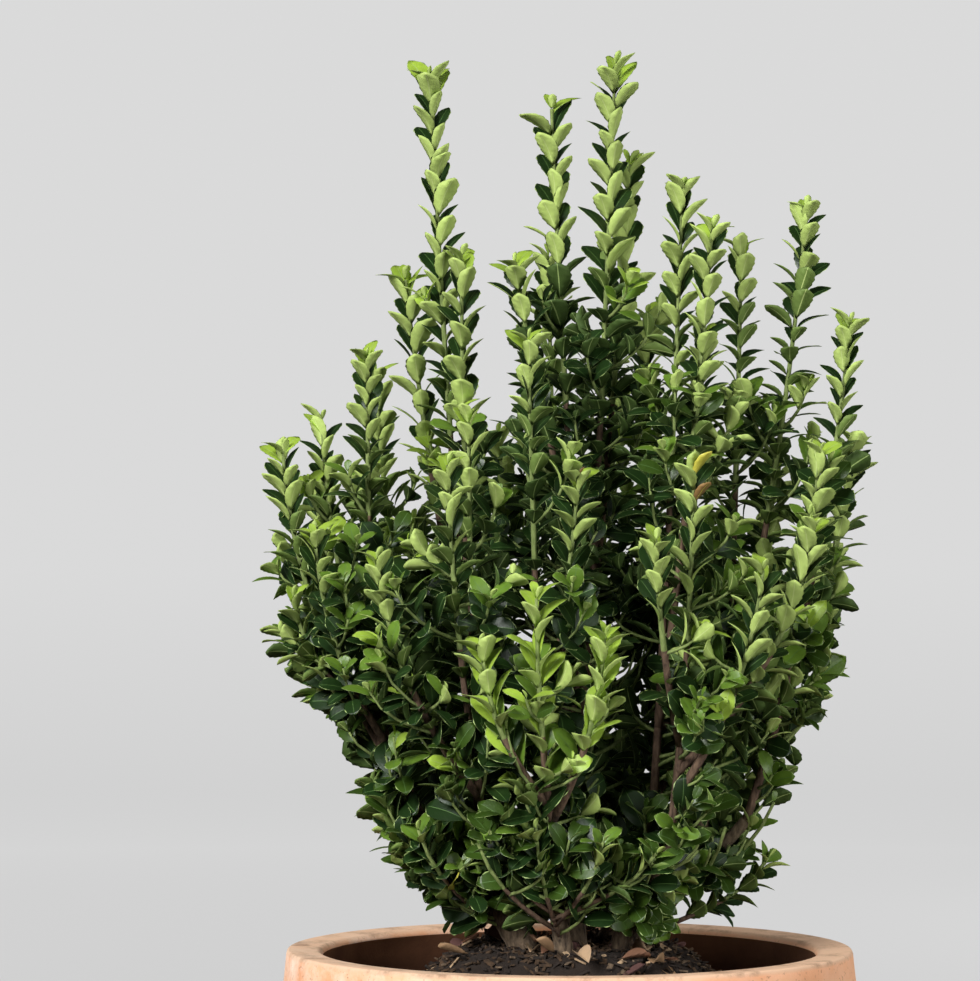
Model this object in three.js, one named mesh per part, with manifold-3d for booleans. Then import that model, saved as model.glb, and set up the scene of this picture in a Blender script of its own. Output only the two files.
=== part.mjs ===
// A Japanese euonymus in a terracotta pot: a many-stemmed evergreen shrub with a vase-shaped crown
// of upright leafy shoots. Millimetres, +Z up. The origin is the centre of the pot's flat underside,
// and -Y is the side that the plant is seen from.

import * as THREE from "three";
import { mergeVertices } from "three/addons/utils/BufferGeometryUtils.js";
import Module from "manifold-3d";

const wasm = await Module();
wasm.setup();

// Driving dimensions of the pot and the soil in it

const CLEAR = 0.3; // the gap that two touching pieces keep
const WELD = 1e-3; // points nearer than this are one point
const POT = {
  height: 300,
  footRadius: 124,
  bellyRadius: 179,
  bellyHeight: 222,
  rimRadius: 174,
  wall: 22,
  floor: 22,
  rimRound: 5,
  footRound: 4,
  sides: 30,
  outerSteps: 6,
  innerSteps: 4,
};
const DRAIN = { holes: 3, radius: 6, ring: 48, depth: 66, sides: 12 };
const SOIL = { top: 303, topRadius: 60, edge: 256, edgeRadius: 108, slope: [0, 0.25, 0.6, 1] };

// The stems, each from a flat cut on the soil to its fork. The foot is [x, y] and the fork [x, y, z].

const STEMS = {
  left: { foot: [-24, -22], fork: [-62, -22, 346], thick: 16 },
  left_back: { foot: [-27, 20], fork: [-52, 46, 348], thick: 14 },
  front: { foot: [-3, -45], fork: [-12, -70, 344], thick: 12 },
  centre: { foot: [2, -6], fork: [4, 4, 356], thick: 16 },
  front_right: { foot: [27, -30], fork: [44, -52, 348], thick: 12 },
  right: { foot: [37, 4], fork: [80, -2, 352], thick: 15 },
  right_back: { foot: [22, 34], fork: [44, 58, 348], thick: 13 },
};

// How a stem is shaped: it starts this far under the soil's top before it is cut flat there, bends at
// this share of its way out and up, and flares at the foot
const STEM = { sunk: 8, bow: 0.32, rise: 0.5, flare: 0.5, flareFade: 7, taper: 0.42, sides: 8, steps: 5 };
const BOUGH = { share: 0.5, endRadius: 3.5, bow: 0.6, rise: 0.45, sides: 5, steps: 2 };

// The masses of foliage. Each grows from a stem: "from" is where its bough, or its own foot, leaves the
// stem, as a share of the stem's length, "entry" is where the bough ends and the mass begins, and "tips"
// are the tops of its leading shoots, the first being its main one. "bow" is how late it turns upright.

const MASSES = {
  left: { stem: "left", from: 1, entry: [-84, -24, 370], bow: 0.9,
    tips: [[-153, 2, 632], [-176, -24, 614], [-154, -80, 562], [-168, -48, 524], [-124, -26, 670]] },
  left_tall: { stem: "left_back", from: 1, entry: [-56, 36, 380], bow: 0.6,
    tips: [[-86, 24, 845], [-67, 4, 733], [-102, 44, 721]] },
  back_left: { stem: "left_back", from: 0.84, entry: [-74, 66, 368], bow: 0.85,
    tips: [[-122, 104, 664], [-160, 66, 592], [-98, 132, 570]] },
  front_left: { stem: "front", from: 0.84, entry: [-48, -80, 366], bow: 0.85,
    tips: [[-74, -112, 604], [-116, -122, 548], [-62, -60, 632]] },
  front_centre: { stem: "front", from: 1, entry: [-10, -92, 366], bow: 0.9,
    tips: [[-22, -152, 526], [18, -150, 504], [-54, -148, 496]] },
  front_mid: { stem: "front", from: 0.92, entry: [-16, -56, 380], bow: 0.6,
    tips: [[-26, -66, 680], [4, -96, 596]] },
  centre: { stem: "centre", from: 1, entry: [6, 4, 392], bow: 0.6,
    tips: [[28, -6, 850], [-11, 8, 825], [38, 24, 792], [-34, -16, 727]] },
  back_centre: { stem: "centre", from: 0.8, entry: [2, 46, 382], bow: 0.75,
    tips: [[-12, 88, 738], [34, 120, 650], [-44, 112, 624]] },
  mid_right: { stem: "front_right", from: 1, entry: [50, -36, 384], bow: 0.6,
    tips: [[69, -18, 774], [86, -40, 748]] },
  front_right: { stem: "front_right", from: 0.84, entry: [58, -82, 366], bow: 0.85,
    tips: [[72, -108, 606], [112, -124, 542], [144, -92, 566], [48, -144, 560]] },
  right_tall: { stem: "right", from: 0.92, entry: [84, 14, 382], bow: 0.7,
    tips: [[147, 8, 763], [107, 16, 741]] },
  right: { stem: "right", from: 1, entry: [108, -16, 380], bow: 0.75,
    tips: [[172, -14, 691], [150, -58, 612], [177, 16, 618], [160, 52, 562]] },
  back_right: { stem: "right_back", from: 1, entry: [56, 66, 374], bow: 0.8,
    tips: [[88, 98, 694], [50, 66, 700], [136, 98, 604]] },
  back_low: { stem: "right_back", from: 0.8, entry: [30, 92, 366], bow: 0.9,
    tips: [[10, 158, 560], [-56, 148, 552], [98, 142, 556]] },
  skirt_left: { stem: "left", from: 0.32, bow: 0.8,
    tips: [[-114, -30, 402], [-92, -74, 388], [-104, 18, 394], [-82, 56, 384], [-66, -60, 366]] },
  skirt_front: { stem: "front", from: 0.32, bow: 0.8,
    tips: [[-22, -116, 392], [-56, -104, 382], [18, -114, 384], [50, -98, 376], [-34, -84, 362]] },
  skirt_right: { stem: "right", from: 0.55, bow: 0.8,
    tips: [[124, -34, 402], [92, -80, 390], [118, 44, 394], [84, 60, 380], [78, -56, 366]] },
  skirt_back: { stem: "right_back", from: 0.32, bow: 0.8,
    tips: [[16, 116, 394], [62, 96, 386], [-38, 106, 388], [-62, 86, 380]] },
  low_sprout: { stem: "right", from: 0.27, bow: 0.7, tips: [[132, -8, 366]] },
};

// How the shoots, leaves and cores are made

const CROWN = { foot: 300, footRadius: 86, flare: 0.58, radius: 194 }; // the outline that leaves keep to

// A leading shoot splits off the main one at a share of its length.
const LEAD = { radius: 3.2, tipRadius: 2, sides: 3, steps: 3, rise: 0.45, split: 0.14, splitStep: 0.07 };

// A side twig turns on from the last by the golden angle and leaves room for its own leaf tips.
const TWIG = { radius: 2.8, tipRadius: 2.2, spacing: 43, length: 40, sizes: [0.8, 1.2], shortest: 0.4,
  climb: 0.72, bow: 0.75, step: 4, firstOnMain: 14, firstOnOther: 0.2, turn: 2.4, tipRoom: 12 };

// A leaf is a folded lozenge. Its widest place, fold and tip drop are shares of its length.
const LEAF = { length: 48, width: 0.62, thick: 2.2, widest: 0.58, fold: 0.03, drop: 0.14, middle: 0.52,
  sunk: 0.6, stagger: 0.9, apart: 9, off: 5.5, sizes: [0.85, 1.15], sway: 0.125 };
const OPENING = { foot: 1.1, loss: 0.3 }; // leaves lean out less towards a shoot's tip, by this share
const TESTED = { outer: 0.5, inner: 0.4 }; // the places on a leaf's edges where its fit is tested
const LEANS = [1, 0.72, 0.46]; // a leaf that doesn't fit is tried again closer to its shoot

// How leaves are dealt out: on the upper stretch of a leading shoot, on a low shoot and on a side twig.
// A shoot ends this far "below" the tips of its topmost leaves.
const SPIRE = { below: 32, reach: 120, share: 0.42, spacing: 34, length: 42, spread: 0.62,
  pairsOnOther: 2.1 };
const SKIRT = { below: 20, from: 0.36, spacing: 17, length: 34, spread: 0.75 };
const SPRAY = { from: 0.5, spacing: 0.42, length: 48, spread: 0.85 };

const CORE = { from: 0.1, share: 0.58, sides: 4, rings: 2, step: 2, reach: 50, least: 7, cover: 2 };
const SPACE_GAP = 1.0; // how far a leaf stays from the border of its mass's space
const LIMB_GAP = 1.2; // how far a leaf stays from a limb
const SOIL_GAP = 2.0; // how far a leaf stays above the soil's top
const CURVE_POINTS = 14; // the points that stand for a curve when distances are taken

const SEED = 62;

const FINISHES = {
  terracotta: { color: 0xc98560, roughness: 0.85 },
  soil: { color: 0x3b2c20, roughness: 1 },
  bark: { color: 0x6b5645, roughness: 0.9 },
  leaf: { color: 0x3f6b2c, roughness: 0.5 },
};

// Small helpers

const vec = (p) => new THREE.Vector3(p[0], p[1], p[2]);
const { lerp } = THREE.MathUtils;
const taper = (from, to) => (share) => lerp(from, to, share);
const evenly = (from, to, count) => Array.from({ length: count + 1 }, (_, i) => lerp(from, to, i / count));
const pointsAlong = (curve) => curve.getSpacedPoints(CURVE_POINTS);

// A stream of numbers from 0 to 1 that is the same each time for one seed
function seeded(seed) {
  let state = seed >>> 0;
  return () => {
    state = (Math.imul(state, 1664525) + 1013904223) >>> 0;
    return state / 4294967296;
  };
}

function distanceTo(point, polyline) {
  let best = Infinity;
  for (let i = 0; i + 1 < polyline.length; i++) {
    const piece = new THREE.Line3(polyline[i], polyline[i + 1]);
    const near = piece.closestPointToPoint(point, true, new THREE.Vector3());
    best = Math.min(best, near.distanceTo(point));
  }
  return best;
}

// A curve that leaves "start" outwards and turns upright towards "end". Its bend is at the share "bow"
// of the way out and "rise" of the way up.
function uprightCurve(start, end, bow, rise) {
  const bend = new THREE.Vector3(
    lerp(start.x, end.x, bow),
    lerp(start.y, end.y, bow),
    lerp(start.z, end.z, rise),
  );
  return new THREE.QuadraticBezierCurve3(start, bend, end);
}

// Solids

function solidOf(geometry) {
  const bare = geometry.clone();
  bare.deleteAttribute("normal");
  bare.deleteAttribute("uv");
  const merged = mergeVertices(bare, WELD);
  return new wasm.Manifold(new wasm.Mesh({
    numProp: 3,
    vertProperties: merged.attributes.position.array,
    triVerts: new Uint32Array(merged.index.array),
  }));
}

function geometryOf(solid) {
  const mesh = solid.getMesh();
  const geometry = new THREE.BufferGeometry();
  geometry.setAttribute("position", new THREE.BufferAttribute(new Float32Array(mesh.vertProperties), 3));
  geometry.setIndex(new THREE.BufferAttribute(new Uint32Array(mesh.triVerts), 1));
  geometry.computeVertexNormals();
  return geometry;
}

// The largest body of a solid, without loose scraps and with its sealed hollows filled
function largestBody(solid) {
  const bodies = solidOf(geometryOf(solid)).decompose();
  return bodies.reduce((best, body) => (body.volume() > best.volume() ? body : best));
}

// A closed skin over rings of points, one ring after another, with a flat face at each end
function skin(rings) {
  const positions = rings.flat().flatMap((p) => [p.x, p.y, p.z]);
  const sides = rings[0].length;
  const index = [];
  for (let ring = 0; ring + 1 < rings.length; ring++) {
    for (let side = 0; side < sides; side++) {
      const next = (side + 1) % sides;
      const [a, b] = [ring * sides + side, ring * sides + next];
      index.push(a, b, b + sides, a, b + sides, a + sides);
    }
  }
  const last = (rings.length - 1) * sides;
  for (let side = 1; side + 1 < sides; side++) {
    index.push(0, side + 1, side);
    index.push(last, last + side, last + side + 1);
  }
  const geometry = new THREE.BufferGeometry();
  geometry.setAttribute("position", new THREE.Float32BufferAttribute(positions, 3));
  geometry.setIndex(index);
  return solidOf(geometry);
}

// The points of a ring round a centre, at the distance that reachAt gives for each direction
function ringAround(centre, normal, binormal, sides, reachAt) {
  return evenly(0, 2 * Math.PI, sides).slice(0, sides).map((turn) => {
    const out = normal.clone().multiplyScalar(Math.cos(turn)).addScaledVector(binormal, Math.sin(turn));
    return centre.clone().addScaledVector(out, reachAt(out));
  });
}

// A round limb along a curve. radiusAt takes the share of the way along it.
function limb(curve, radiusAt, sides, steps) {
  const { normals, binormals } = curve.computeFrenetFrames(steps, false);
  return skin(evenly(0, 1, steps).map((share, step) => ringAround(
    curve.getPointAt(share), normals[step], binormals[step], sides, () => radiusAt(share),
  )));
}

// A solid turned round the upright axis from its profile of [radius, height] points
function turned(profile, sides) {
  const geometry = new THREE.LatheGeometry(profile.map(([r, z]) => new THREE.Vector2(r, z)), sides);
  geometry.rotateX(Math.PI / 2);
  return solidOf(geometry);
}

// The pot, with its drain holes

function potRadius(height) {
  if (height < POT.bellyHeight) {
    const share = Math.sin((Math.PI / 2) * (height / POT.bellyHeight));
    return lerp(POT.footRadius, POT.bellyRadius, share);
  }
  const share = (height - POT.bellyHeight) / (POT.height - POT.bellyHeight);
  return lerp(POT.bellyRadius, POT.rimRadius, share * share);
}

const innerRadius = (height) => potRadius(height) - POT.wall;

// The heights, from the floor to the soil's edge, where the pot's inside has a corner
const insideHeights = () => evenly(POT.floor, SOIL.edge, POT.innerSteps);

function makePot() {
  const { height, footRadius, footRound, rimRound, rimRadius, wall, floor } = POT;
  const rimInside = rimRadius - wall;
  const outside = evenly(footRound, height - rimRound, POT.outerSteps).map((z) => [potRadius(z), z]);
  const profile = [
    [0, 0],
    [footRadius - footRound, 0],
    ...outside,
    [rimRadius - rimRound, height],
    [rimInside + rimRound, height],
    [innerRadius(height - rimRound), height - rimRound],
    ...insideHeights().reverse().map((z) => [innerRadius(z), z]),
    [0, floor],
  ];
  return turned(profile, POT.sides).subtract(wasm.Manifold.union(drainHoles()));
}

function drainHoles() {
  return evenly(0, 2 * Math.PI, DRAIN.holes).slice(0, DRAIN.holes).map((turn) => {
    const drill = new THREE.CylinderGeometry(DRAIN.radius, DRAIN.radius, DRAIN.depth, DRAIN.sides);
    drill.rotateX(Math.PI / 2);
    drill.translate(DRAIN.ring * Math.cos(turn), DRAIN.ring * Math.sin(turn), POT.floor / 2);
    return solidOf(drill);
  });
}

// The soil fills the pot and rises in the middle, where the root ball stands proud of it.
// It has half as many sides as the pot, so that its corners meet the pot's own.
function makeSoil() {
  const bottom = POT.floor + CLEAR;
  const side = insideHeights().map((z) => [innerRadius(z) - 2 * CLEAR, Math.max(z, bottom)]);
  const slope = SOIL.slope.map((share) => [
    lerp(SOIL.edgeRadius, SOIL.topRadius, share),
    lerp(SOIL.edge, SOIL.top, Math.sin((Math.PI / 2) * share)),
  ]);
  return turned([[0, bottom], ...side, ...slope, [0, SOIL.top]], POT.sides / 2);
}

// The stems and boughs

// Every stem and bough by name: its curve, its solid, points along it with the radius there, and a
// slightly thicker solid that the pieces beside it are cut with
const limbs = {};

const cutClear = (solid) => Object.values(limbs).reduce((rest, { grown }) => rest.subtract(grown), solid);

function addLimb(name, curve, radiusAt, { sides, steps }, trim = (solid) => solid) {
  const solid = largestBody(cutClear(trim(limb(curve, radiusAt, sides, steps))));
  const facets = Math.cos(Math.PI / sides);
  const grown = limb(curve, (share) => radiusAt(share) + CLEAR / facets, sides, steps);
  const points = pointsAlong(curve).map((at, i) => ({ at, radius: radiusAt(i / CURVE_POINTS) }));
  limbs[name] = { curve, solid, grown, points };
}

// What lies below the flat cut on the soil
function groundBlock() {
  const size = 2 * POT.rimRadius;
  const block = new THREE.BoxGeometry(size, size, size);
  return solidOf(block.translate(0, 0, SOIL.top + CLEAR - size / 2));
}

function addStem(name, { foot, fork, thick }) {
  const start = vec([...foot, SOIL.top + CLEAR - STEM.sunk]);
  const radiusAt = (share) => {
    const flare = STEM.flare * Math.exp(-STEM.flareFade * share);
    return (thick / 2) * (1 + flare - STEM.taper * share);
  };
  const ground = groundBlock();
  addLimb(`stem_${name}`, uprightCurve(start, vec(fork), STEM.bow, STEM.rise), radiusAt, STEM,
    (solid) => solid.subtract(ground));
}

function addBough(name, { stem, from, entry }) {
  const start = limbs[`stem_${stem}`].curve.getPointAt(from);
  const radiusAt = taper((STEMS[stem].thick / 2) * BOUGH.share, BOUGH.endRadius);
  addLimb(`bough_${name}`, uprightCurve(start, vec(entry), BOUGH.bow, BOUGH.rise), radiusAt, BOUGH);
}

// The space of a mass of foliage

// The curves of a mass's leading shoots: the main one, and the others that split off it
function leadCurves({ stem, from, entry, bow, tips }) {
  const { below } = entry ? SPIRE : SKIRT;
  const ends = tips.map(([x, y, z]) => vec([x, y, z - below]));
  const start = entry ? vec(entry) : limbs[`stem_${stem}`].curve.getPointAt(from);
  const main = uprightCurve(start, ends[0], bow, LEAD.rise);
  const others = ends.slice(1).map((end, i) => {
    const split = main.getPointAt(LEAD.split + i * LEAD.splitStep);
    return uprightCurve(split, end, bow, LEAD.rise);
  });
  return [main, ...others];
}

function inOutline(point) {
  const allowed = CROWN.footRadius + CROWN.flare * (point.z - CROWN.foot);
  return point.z > SOIL.top + SOIL_GAP && Math.hypot(point.x, point.y) < Math.min(allowed, CROWN.radius);
}

// Says whether a point is in a mass's space: in the crown's outline, off the limbs, and nearer the
// mass's own leading shoots than any other's
function spaceOf(name, leads) {
  const own = leads[name].map(pointsAlong);
  const others = Object.keys(leads).filter((other) => other !== name)
    .flatMap((other) => leads[other].map(pointsAlong));
  const near = Object.values(limbs).flatMap(({ points }) => points);
  return (point) => {
    if (!inOutline(point)) return false;
    const mine = Math.min(...own.map((line) => distanceTo(point, line)));
    if (others.some((line) => distanceTo(point, line) < mine + 2 * SPACE_GAP)) return false;
    return near.every(({ at, radius }) => at.distanceTo(point) > radius + LIMB_GAP);
  };
}

// Leaves

function leafPoints(root, along, face, length) {
  const across = new THREE.Vector3().crossVectors(along, face).normalize();
  const half = (length * LEAF.width) / 2;
  const at = (forward, sideways, up) => root.clone()
    .addScaledVector(along, forward * length)
    .addScaledVector(across, sideways * half)
    .addScaledVector(face, up * length);
  const lift = LEAF.thick / 2 / length;
  return {
    base: at(0, 0, 0),
    tip: at(1, 0, -LEAF.drop),
    left: at(LEAF.widest, 1, LEAF.fold),
    right: at(LEAF.widest, -1, LEAF.fold),
    top: at(LEAF.middle, 0, lift),
    under: at(LEAF.middle, 0, -lift),
  };
}

// A leaf has eight faces: four between its outline and its ridge, and four below
function leafSolid({ base, right, tip, left, top, under }) {
  const corners = [base, right, tip, left];
  const faces = corners.flatMap((corner, i) => {
    const next = corners[(i + 1) % corners.length];
    return [next, corner, top, corner, next, under];
  });
  return solidOf(new THREE.BufferGeometry().setFromPoints(faces));
}

// Says whether a leaf stays in its mass's space, off its shoots and core, and apart from the leaves
// already there, which it then joins
function leafTest(ownLeads, buried, inside) {
  const own = ownLeads.map(pointsAlong);
  const placed = [];
  const clear = (point) => !buried(point) && own.every((line) => distanceTo(point, line) > LEAF.off);
  const apart = (point) => placed.every((other) => other.distanceTo(point) > LEAF.apart);
  return ({ base, tip, left, right, top }) => {
    const towards = (from, to, share) => from.clone().lerp(to, share);
    const edges = [towards(tip, left, TESTED.outer), towards(tip, right, TESTED.outer)];
    const outer = [tip, left, right, top, ...edges];
    const inner = [towards(left, base, TESTED.inner), towards(right, base, TESTED.inner)];
    if (![tip, top, left, right].every(clear)) return false;
    if (![...outer, ...inner].every(inside) || !outer.every(apart)) return false;
    placed.push(tip, left, right, top);
    return true;
  };
}

// The leaves of a shoot: opposite pairs from its tip down, each turned a quarter from the last
function shootLeaves(curve, { from, spacing, length, spread }, fits, random) {
  const total = curve.getLength();
  const leaves = [];
  let turn = random() * Math.PI;
  for (let way = total; way >= from; way -= spacing) {
    const share = way / total;
    const axis = curve.getTangentAt(share);
    const side = new THREE.Vector3().crossVectors(axis, vec([0, 1, 0])).normalize();
    side.applyAxisAngle(axis, turn);
    turn += Math.PI / 2;
    for (const flip of [1, -1]) {
      const opening = spread * (OPENING.foot - OPENING.loss * share);
      const lean = opening + lerp(-LEAF.sway, LEAF.sway, random());
      const size = length * lerp(...LEAF.sizes, random());
      const root = curve.getPointAt(share).addScaledVector(axis, flip * LEAF.stagger);
      const found = LEANS.map((closer) => leafLeaning(root, axis, side, flip, lean * closer, size))
        .find(fits);
      if (found) leaves.push(leafSolid(found));
    }
  }
  return leaves;
}

// The points of a leaf that leans off its shoot's axis, with its upper side towards the shoot's tip
function leafLeaning(root, axis, side, flip, lean, size) {
  const along = axis.clone().multiplyScalar(Math.cos(lean))
    .addScaledVector(side, flip * Math.sin(lean));
  const face = axis.clone().addScaledVector(along, -axis.dot(along)).normalize();
  return leafPoints(root.clone().addScaledVector(along, -LEAF.sunk), along, face, size);
}

// Masses of foliage

// The dense inside of a mass: rings of points round its leading shoot, smaller than its space
function coreRings(lead, topShare, inside) {
  const steps = CORE.rings + 1;
  const { normals, binormals } = lead.computeFrenetFrames(steps, false);
  return evenly(CORE.from, topShare, steps).map((share, ring) => {
    const centre = lead.getPointAt(share);
    const atEnd = ring === 0 || ring === steps;
    return ringAround(centre, normals[ring], binormals[ring], CORE.sides, (out) => {
      let reach = CORE.least;
      while (reach < CORE.reach && inside(centre.clone().addScaledVector(out, reach))) reach += CORE.step;
      return atEnd ? CORE.least : Math.max(CORE.least, reach * CORE.share);
    });
  });
}

// Says whether a core would bury a point, by the core's largest radius at each of its rings
function buriedBy(rings) {
  const balls = rings.map((points) => {
    const centre = points.reduce((sum, p) => sum.add(p), vec([0, 0, 0])).divideScalar(points.length);
    return { centre, radius: Math.max(...points.map((p) => p.distanceTo(centre))) };
  });
  return (point) => balls.some(({ centre, radius }) => centre.distanceTo(point) < radius + CORE.cover);
}

// A side twig: it leaves the shoot at a share of its length and grows as far as the space lets it
function sideTwig(lead, share, turn, length, inside) {
  const start = lead.getPointAt(share);
  const flat = Math.sqrt(1 - TWIG.climb ** 2);
  const out = vec([Math.cos(turn) * flat, Math.sin(turn) * flat, TWIG.climb]);
  const fitsAt = (reach) => inside(start.clone().addScaledVector(out, reach + TWIG.tipRoom));
  let reach = length;
  while (reach > TWIG.shortest * length && !fitsAt(reach)) reach -= TWIG.step;
  return uprightCurve(start, start.clone().addScaledVector(out, reach), TWIG.bow, LEAD.rise);
}

// The side twigs of a leading shoot up to its spire, each with its own spray of leaves
function sideTwigs(lead, first, end, inside, fits, random) {
  const pieces = [];
  const total = lead.getLength();
  let turn = random() * 2 * Math.PI;
  for (let way = first; way < end; way += TWIG.spacing) {
    turn += TWIG.turn;
    const length = TWIG.length * lerp(...TWIG.sizes, random());
    const twig = sideTwig(lead, way / total, turn, length, inside);
    const reach = twig.getLength();
    const spray = { ...SPRAY, from: SPRAY.from * reach, spacing: SPRAY.spacing * reach };
    const leaves = shootLeaves(twig, spray, fits, random);
    if (leaves.length) {
      pieces.push(limb(twig, taper(TWIG.radius, TWIG.tipRadius), LEAD.sides, 1), ...leaves);
    }
  }
  return pieces;
}

// Where the spire of a leading shoot starts: above it there are leaves but no side twigs
function spireStart(lead) {
  const total = lead.getLength();
  return total - Math.min(SPIRE.share * total, SPIRE.reach);
}

const stick = (lead) => limb(lead, taper(LEAD.radius, LEAD.tipRadius), LEAD.sides, LEAD.steps);

// A low mass: bare shoots from a stem's foot with leaves on their outer part
function lowMassPieces(leads, inside, random) {
  const fits = leafTest(leads, () => false, inside);
  return leads.flatMap((lead) => {
    const leaves = { ...SKIRT, from: SKIRT.from * lead.getLength() };
    return [stick(lead), ...shootLeaves(lead, leaves, fits, random)];
  });
}

// A full mass: leading shoots with a spire of leaves, side twigs below, and a core round the main one
function fullMassPieces(leads, inside, random) {
  const main = leads[0];
  const rings = coreRings(main, spireStart(main) / main.getLength(), inside);
  const fits = leafTest(leads, buriedBy(rings), inside);
  const pieces = [skin(rings)];
  leads.forEach((lead, number) => {
    const total = lead.getLength();
    const spire = spireStart(lead);
    const lowest = number ? Math.max(spire, total - SPIRE.pairsOnOther * SPIRE.spacing) : spire;
    const first = number ? TWIG.firstOnOther * total : TWIG.firstOnMain;
    pieces.push(
      stick(lead),
      ...shootLeaves(lead, { ...SPIRE, from: lowest }, fits, random),
      ...sideTwigs(lead, first, spire, inside, fits, random),
    );
  });
  return pieces;
}

function makeMass(name, leads, seed) {
  const makePieces = MASSES[name].entry ? fullMassPieces : lowMassPieces;
  const pieces = makePieces(leads[name], spaceOf(name, leads), seeded(seed));
  return largestBody(cutClear(wasm.Manifold.union(pieces)));
}

// The finished model

const model = new THREE.Group();

function addPart(name, solid, finish) {
  const material = new THREE.MeshStandardMaterial({ ...finish, metalness: 0 });
  const mesh = new THREE.Mesh(geometryOf(solid), material);
  mesh.name = name;
  model.add(mesh);
}

addPart("pot", makePot(), FINISHES.terracotta);
addPart("soil", makeSoil(), FINISHES.soil);
for (const [name, stem] of Object.entries(STEMS)) addStem(name, stem);
for (const [name, mass] of Object.entries(MASSES)) {
  if (mass.entry) addBough(name, mass);
}
for (const [name, { solid }] of Object.entries(limbs)) addPart(name, solid, FINISHES.bark);

const leads = Object.fromEntries(Object.entries(MASSES).map(([name, mass]) => [name, leadCurves(mass)]));
Object.keys(MASSES).forEach((name, number) => {
  addPart(`leaves_${name}`, makeMass(name, leads, SEED + number), FINISHES.leaf);
});

export default model;
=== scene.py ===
"""A Japanese euonymus in a terracotta pot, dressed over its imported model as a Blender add-on."""

import math

import bpy
import numpy as np
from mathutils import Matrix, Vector, noise


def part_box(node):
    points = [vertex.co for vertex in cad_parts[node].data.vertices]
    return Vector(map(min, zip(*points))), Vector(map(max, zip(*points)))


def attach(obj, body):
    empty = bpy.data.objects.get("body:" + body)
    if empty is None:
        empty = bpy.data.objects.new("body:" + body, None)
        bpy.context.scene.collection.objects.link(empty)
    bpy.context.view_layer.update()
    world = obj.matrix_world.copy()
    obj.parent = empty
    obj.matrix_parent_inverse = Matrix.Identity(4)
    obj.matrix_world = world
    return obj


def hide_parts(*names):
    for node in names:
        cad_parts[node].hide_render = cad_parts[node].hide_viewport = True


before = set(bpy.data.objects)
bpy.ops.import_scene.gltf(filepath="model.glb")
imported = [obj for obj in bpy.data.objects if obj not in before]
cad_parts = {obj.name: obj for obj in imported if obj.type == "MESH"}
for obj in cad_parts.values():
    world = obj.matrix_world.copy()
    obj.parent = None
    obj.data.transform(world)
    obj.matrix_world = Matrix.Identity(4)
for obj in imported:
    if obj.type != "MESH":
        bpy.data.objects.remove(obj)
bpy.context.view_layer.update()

bl_info = {
    "name": "Potted Japanese Euonymus",
    "version": (1, 0, 0),
    "blender": (4, 5, 0),
    "location": "View3D > Sidebar > Euonymus",
    "description": "Builds a potted euonymus: pot, soil, bark, twigs and leaves",
    "category": "Add Mesh",
}

MM = 0.001
BODY = "root"
POT_LOW, POT_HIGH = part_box("pot")
SOIL_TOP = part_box("soil")[1].z / MM

# The limbs and shoots repeat the solids' own sizes, in millimetres. A stem is its foot on the soil, its
# fork and its thickness at the foot.

STEMS = {
    "left": ((-24, -22), (-62, -22, 346), 16),
    "left_back": ((-27, 20), (-52, 46, 348), 14),
    "front": ((-3, -45), (-12, -70, 344), 12),
    "centre": ((2, -6), (4, 4, 356), 16),
    "front_right": ((27, -30), (44, -52, 348), 12),
    "right": ((37, 4), (80, -2, 352), 15),
    "right_back": ((22, 34), (44, 58, 348), 13),
}

# A mass is its stem, where on the stem it leaves, where its bough ends (None for a low shoot with no
# bough), how late it turns upright, how fresh its tips are, and the tops of its leading shoots.

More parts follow.
